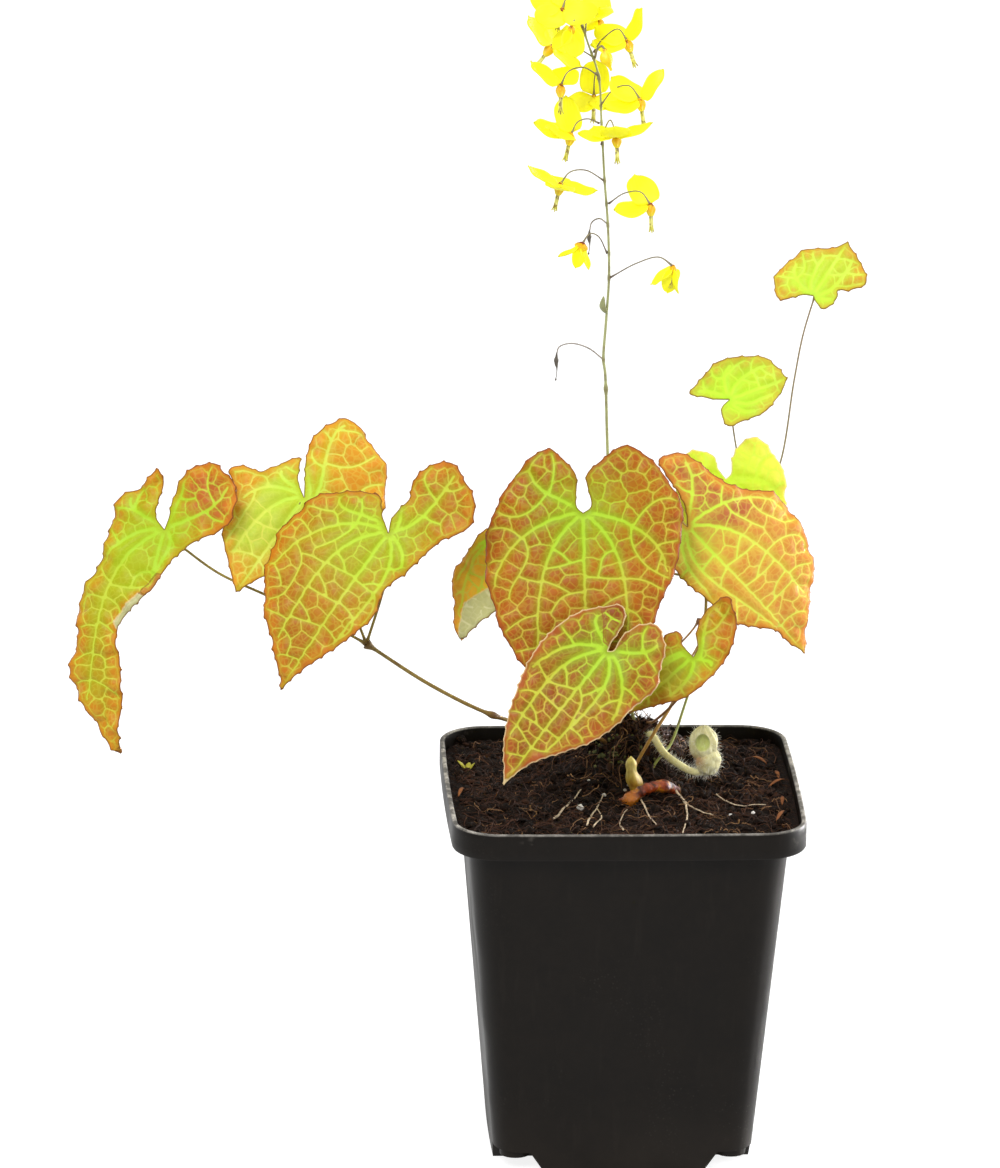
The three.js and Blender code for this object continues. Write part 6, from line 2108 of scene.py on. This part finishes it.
LEAF_STALKS = [
    LeafStalk(
        "stalk_left",
        stem=[(-0.5, 16, 92), (-2, 14.2, 98.5), (-4.2, 12, 101.8), (-15, 5, 106), (-33, -7, 114.5),
              (-49, -10, 123.5), (-65.5, -10, 134.5)],
        radius=(0.56, 0.46), knots=[Knot((-33, -7, 114.5), 0.95, 2.2), Knot((-65.5, -10, 134.5), 1.35, 2.2)],
        stalklets={
            "leaflet_1": [(-77.5, -9, 141), (-92, -7, 147), (-103, -6, 152), (-112, -7, 159)],
            "leaflet_2": [(-69.5, -4, 143.5), (-76, 1, 157.5)],
            "leaflet_3": [(-62, -9, 146), (-59.5, -11, 157.5)],
        },
        finish=StalkFinish((124, 92, 42), (150, 132, 62), (92, 58, 30)),
    ),
    LeafStalk(
        "stalk_centre",
        stem=[(1.5, 1.5, 87.5), (3.5, 1.5, 96.5), (8.5, 4, 105.5), (13.5, 8, 112.5), (19.5, 10, 125),
              (22, 11, 137.5), (21.5, 12, 145)],
        radius=(0.46, 0.38), knots=[Knot((21.5, 12, 145), 0.95)],
        stalklets={
            "leaflet_4": [(7.5, 9, 148.5), (-16, 8, 155)],
            "leaflet_5": [(12.5, 7, 152), (-1, 0, 161)],
            "leaflet_7": [(19.5, 12.5, 152)],
        },
        finish=StalkFinish((188, 140, 62), (150, 136, 80), (112, 76, 40)),
    ),
    LeafStalk(
        "stalk_front",
        stem=[(7, 21.2, 94), (7.3, 20.2, 100), (7.7, 18.4, 103.8), (8.3, 12, 106.4), (9.1, 5, 109.2),
              (13, 2, 114), (18, 0, 121.8), (19.5, -3, 130.8), (19.5, -5, 139.5)],
        radius=(0.38, 0.32), knots=[Knot((19.5, -5, 139.5), 0.7)],
        stalklets={
            "leaflet_6": [(17.5, -6.5, 137), (13, -10.3, 133.6), (8.5, -12.6, 131.9), (5, -17, 132),
                          (2.5, -24, 133.9), (1, -27.3, 135.7)],
            "leaflet_8": [(20.5, -6.5, 137)],
        },
        finish=StalkFinish((140, 92, 48), (150, 108, 56), (92, 56, 34)),
    ),
    LeafStalk(
        "stalk_young",
        stem=[(7.2, 3.7, 86.5), (8.2, 4.1, 93), (9.2, 4.7, 97.4), (11.5, 6, 100), (13.5, 8, 102),
              (17.5, 13, 112), (21.5, 18, 123), (28.5, 23, 136), (34, 26, 151.5)],
        radius=(0.38, 0.3), knots=[Knot((34, 26, 151.5), 0.65)],
        stalklets={
            "leaflet_9": [(31.5, 25.5, 160)],
            "leaflet_10": [(31.5, 26, 167.5), (29, 25.5, 181.5)],
            "leaflet_11": [(37.5, 26.5, 162), (41.5, 27, 172), (44.5, 27, 193.5), (46.5, 27, 205.5)],
        },
        finish=StalkFinish((170, 182, 96), (146, 126, 96), (124, 108, 74), 0.4),
    ),
]

FLOWERS = [
    Flower("flower_1", (11.5, 1, 231.2), (-0.1, -0.05, -1), [(186, -46), (330, -76), (250, -80)],
           [(-4.5, 5, 227), (2.5, 3, 231.5), (8, 2, 233.3)], 0.8, width=6.0),
    Flower("flower_2", (-11.6, 0, 237.4), (-0.35, -0.2, -0.9), [(12, -56), (80, -70), (190, -50)],
           [(-5, 5, 233.5), (-7.5, 3, 238.5), (-9.8, 1.3, 239.6)], 0.7, width=5.0, cup_size=1.6),
    Flower("flower_3", (5.5, 1, 247.3), (0.05, 0, -1), [(240, 42), (185, -10)],
           [(-5, 5, 246.5), (-1, 3, 249.8), (3, 1.5, 250.5)]),
    Flower("flower_4", (-17.4, 0.5, 252.8), (-0.2, 0, -0.98), [(5, 0), (95, 8), (180, 14), (262, -4)],
           [(-6, 5, 252.5), (-11, 2.5, 255.9), (-15, 1, 255.8)], twist=4.0),
    Flower("flower_5", (-3.7, -5, 266.8), (0.05, 0, -1), [(12, 19), (95, 25), (190, 3), (235, 0)],
           [(-7, 5, 262), (-6, 1, 268), (-5, -3, 270.3)], twist=4.0),
    Flower("flower_6", (-14.8, 2, 265.4), (-0.2, 0, -0.98), [(180, 5), (132, 12), (235, 55)],
           [(-7.5, 5, 267.5), (-10.5, 4, 268.9), (-13.2, 3, 268.3)]),
    Flower("flower_7", (-17.8, -2, 279.1), (0, -0.2, -0.98), [(285, 28), (190, 38)],
           [(-8, 5, 280), (-12, 2, 282.8), (-16, -1, 282.4)]),
    Flower("flower_8", (2.4, 0, 275), (0.15, 0, -0.99), [(0, 46), (215, 32), (165, -5)],
           [(-7.5, 5, 272), (-4, 3.5, 276.9), (-0.2, 1.1, 278.2)]),
    Flower("flower_9", (-8.5, 16, 271.6), (0, 0.1, -1), [(50, 0), (140, -5), (275, 50)],
           [(-8, 5, 279), (-8.3, 10, 279.4), (-8.5, 15, 276)]),
    Flower("flower_10", (-0.7, 8, 288.1), (0.3, 0, -0.95), [(0, 48), (215, 30), (172, 10)],
           [(-9.3, 5, 286), (-7, 8.5, 288.4), (-3, 9, 291)]),
    Flower("flower_11", (-19.8, 7, 286.9), (-0.6, 0, -0.8), [(0, 3), (195, 15), (282, 22)],
           [(-9, 5, 284.5), (-12.5, 8, 286), (-17, 8, 289)]),
    Flower("flower_12", (-17.5, 1.5, 298), (-0.15, 0.45, -0.88), [(20, 12), (135, 0), (200, 8), (280, 20)],
           [(-13, 5, 295), (-13.8, 5.5, 299), (-16, 3.5, 301.5)]),
    Flower("flower_13", (-7.5, 18, 291.1), (0.2, 0.2, -0.95), [(80, 40), (160, 15), (270, 30)],
           [(-11.5, 5, 291), (-10.8, 10, 293.4), (-8.5, 17, 293.2)]),
    Flower("flower_14", (-15.2, -2, 294.4), (-0.1, 0.1, -0.98), [(180, -58), (60, -66), (300, -62)],
           [(-12.2, 5, 292.6), (-13, 1.5, 294.8), (-14.5, -1, 295.9)], 0.8),
]


# Studio


@dataclass
class Studio:
    """A plain white floor, soft light all round and the camera."""

    aim: Triple = (-31.796, 0.437, 147.35)
    azimuth: float = -3.244
    elevation: float = 17.27
    distance: float = 2991.3
    roll: float = 0.765
    lens: float = 361.98
    ambient: float = 0.37

    def build(self) -> None:
        """Makes the floor, the lights and the camera."""
        scene = bpy.context.scene
        scene.view_settings.view_transform = "Standard"
        scene.world = self.room()
        self.floor()
        self.light("key", (-700, -1500, 1600), 900, 31.0)
        self.light("right", (1450, 0, 250), 1500, 15.0)
        self.light("right_rim", (1100, 1200, 300), 900, 12.0)
        self.light("low_right", (620, 260, 90), 320, 2.4)
        self.light("pot_edge", (560, 330, 60), 110, 0.19, (20, 0, 40), 14.0)
        self.light("left", (-1300, 1100, 250), 500, 5.0)
        self.light("top", (150, 300, 1700), 900, 8.0)
        self.camera()

    def room(self) -> bpy.types.World:
        """White all round for the camera, and a softer even light on the plant."""
        world = bpy.data.worlds.new("white_room")
        world.use_nodes = True
        world.node_tree.nodes.clear()
        nodes = Nodes(world.node_tree)
        seen = nodes.new("LightPath").outputs["Is Camera Ray"]
        strength = nodes.fade(seen, 0.0, 1.0, self.ambient, 1.0)
        light = nodes.new("Background", {"Color": (1.0, 1.0, 1.0, 1.0), "Strength": strength})
        nodes.new("OutputWorld", {"Surface": light.outputs[0]})
        return world

    def floor(self) -> None:
        """The plain pale floor under the pot."""
        shape = Shape()
        half = 6000.0
        shape.add(at_height(np.array(CORNERS[2:] + CORNERS[:2]) * half, 0.0), [(0, 1, 2, 3)])
        made, nodes = new_material("white_floor")
        seen = nodes.new("LightPath").outputs["Is Camera Ray"]
        nodes.surface((0.35, 0.35, 0.35, 1.0), 0.9, Emission_Color=(1.0, 1.0, 1.0, 1.0),
                      Emission_Strength=nodes.fade(seen, 0.0, 1.0, 0.35, 0.85))
        shape.build("studio_floor", [made])

    def light(self, name: str, place_at: Triple, size: float, power: float, aim: Triple = (-10, 0, 150),
              spread: float = 180.0) -> None:
        """A soft square light turned to the plant, or a narrow one turned to a part of it."""
        data = bpy.data.lights.new(name, "AREA")
        data.size = size * MM
        data.energy = power
        data.spread = math.radians(spread)
        lamp = bpy.data.objects.new(name, data)
        lamp.location = Vector(place_at) * MM
        lamp.visible_camera = False
        lamp.rotation_euler = (Vector(aim) * MM - lamp.location).to_track_quat("-Z", "Y").to_euler()
        bpy.context.scene.collection.objects.link(lamp)

    def camera(self) -> None:
        """The camera at the photograph's angle."""
        a, e, r = (math.radians(x) for x in (self.azimuth, self.elevation, self.roll))
        back = Vector((math.sin(a) * math.cos(e), -math.cos(a) * math.cos(e), math.sin(e)))
        right = Vector((math.cos(a), math.sin(a), 0.0))
        up = back.cross(right)
        side = right * math.cos(r) + up * math.sin(r)
        top = up * math.cos(r) - right * math.sin(r)
        data = bpy.data.cameras.new("camera")
        data.lens = self.lens
        data.sensor_width = 36.0
        data.clip_start, data.clip_end = 0.1, 40.0
        lens = bpy.data.objects.new("camera", data)
        at = (Vector(self.aim) + back * self.distance) * MM
        basis = Matrix((side, top, back)).transposed().to_4x4()
        lens.matrix_world = Matrix.Translation(at) @ basis
        bpy.context.scene.collection.objects.link(lens)
        bpy.context.scene.camera = lens


def main() -> None:
    """Builds the plant in its pot, then the studio."""
    make_groups()
    for leaflet in LEAFLETS:
        leaflet.build()
    by_name = {leaflet.name: leaflet for leaflet in LEAFLETS}
    for stalk in LEAF_STALKS:
        stalk.build(by_name)
    Pot().build()
    Compost().build()
    joints = [flower.pedicel[0] for flower in FLOWERS]
    spent = [
        (((-5.5, 6.5, 205), (-9.5, 5, 208.5), (-14, 4, 210), (-17, 4, 209)), (-17.5, 4, 207), 4.0),
        (((-5, 5, 241), (-7, 6, 242.3), (-9, 7, 241)), (-9.5, 7, 238.5), 3.5),
    ]
    FlowerStalk(RACEME, RACEME_RADIUS, [*joints, (-5.5, 6.5, 205), (-5, 5, 241)], spent,
                ((-5, 5.6, 217.5), (-6, 4.6, 219.5), (-5.8, 4.4, 222.3)), (-4.6, 6.8, 197),
                StalkFinish((196, 198, 136), (160, 166, 116), (116, 100, 68))).build()
    finishes = petal_finishes()
    for flower in FLOWERS:
        flower.build(finishes)
    FlowerBud().build(finishes)
    YoungShoot().build()
    CrownBud().build()
    Rhizome().build()
    Studio().build()
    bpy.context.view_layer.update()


if __name__ == "__main__":
    main()
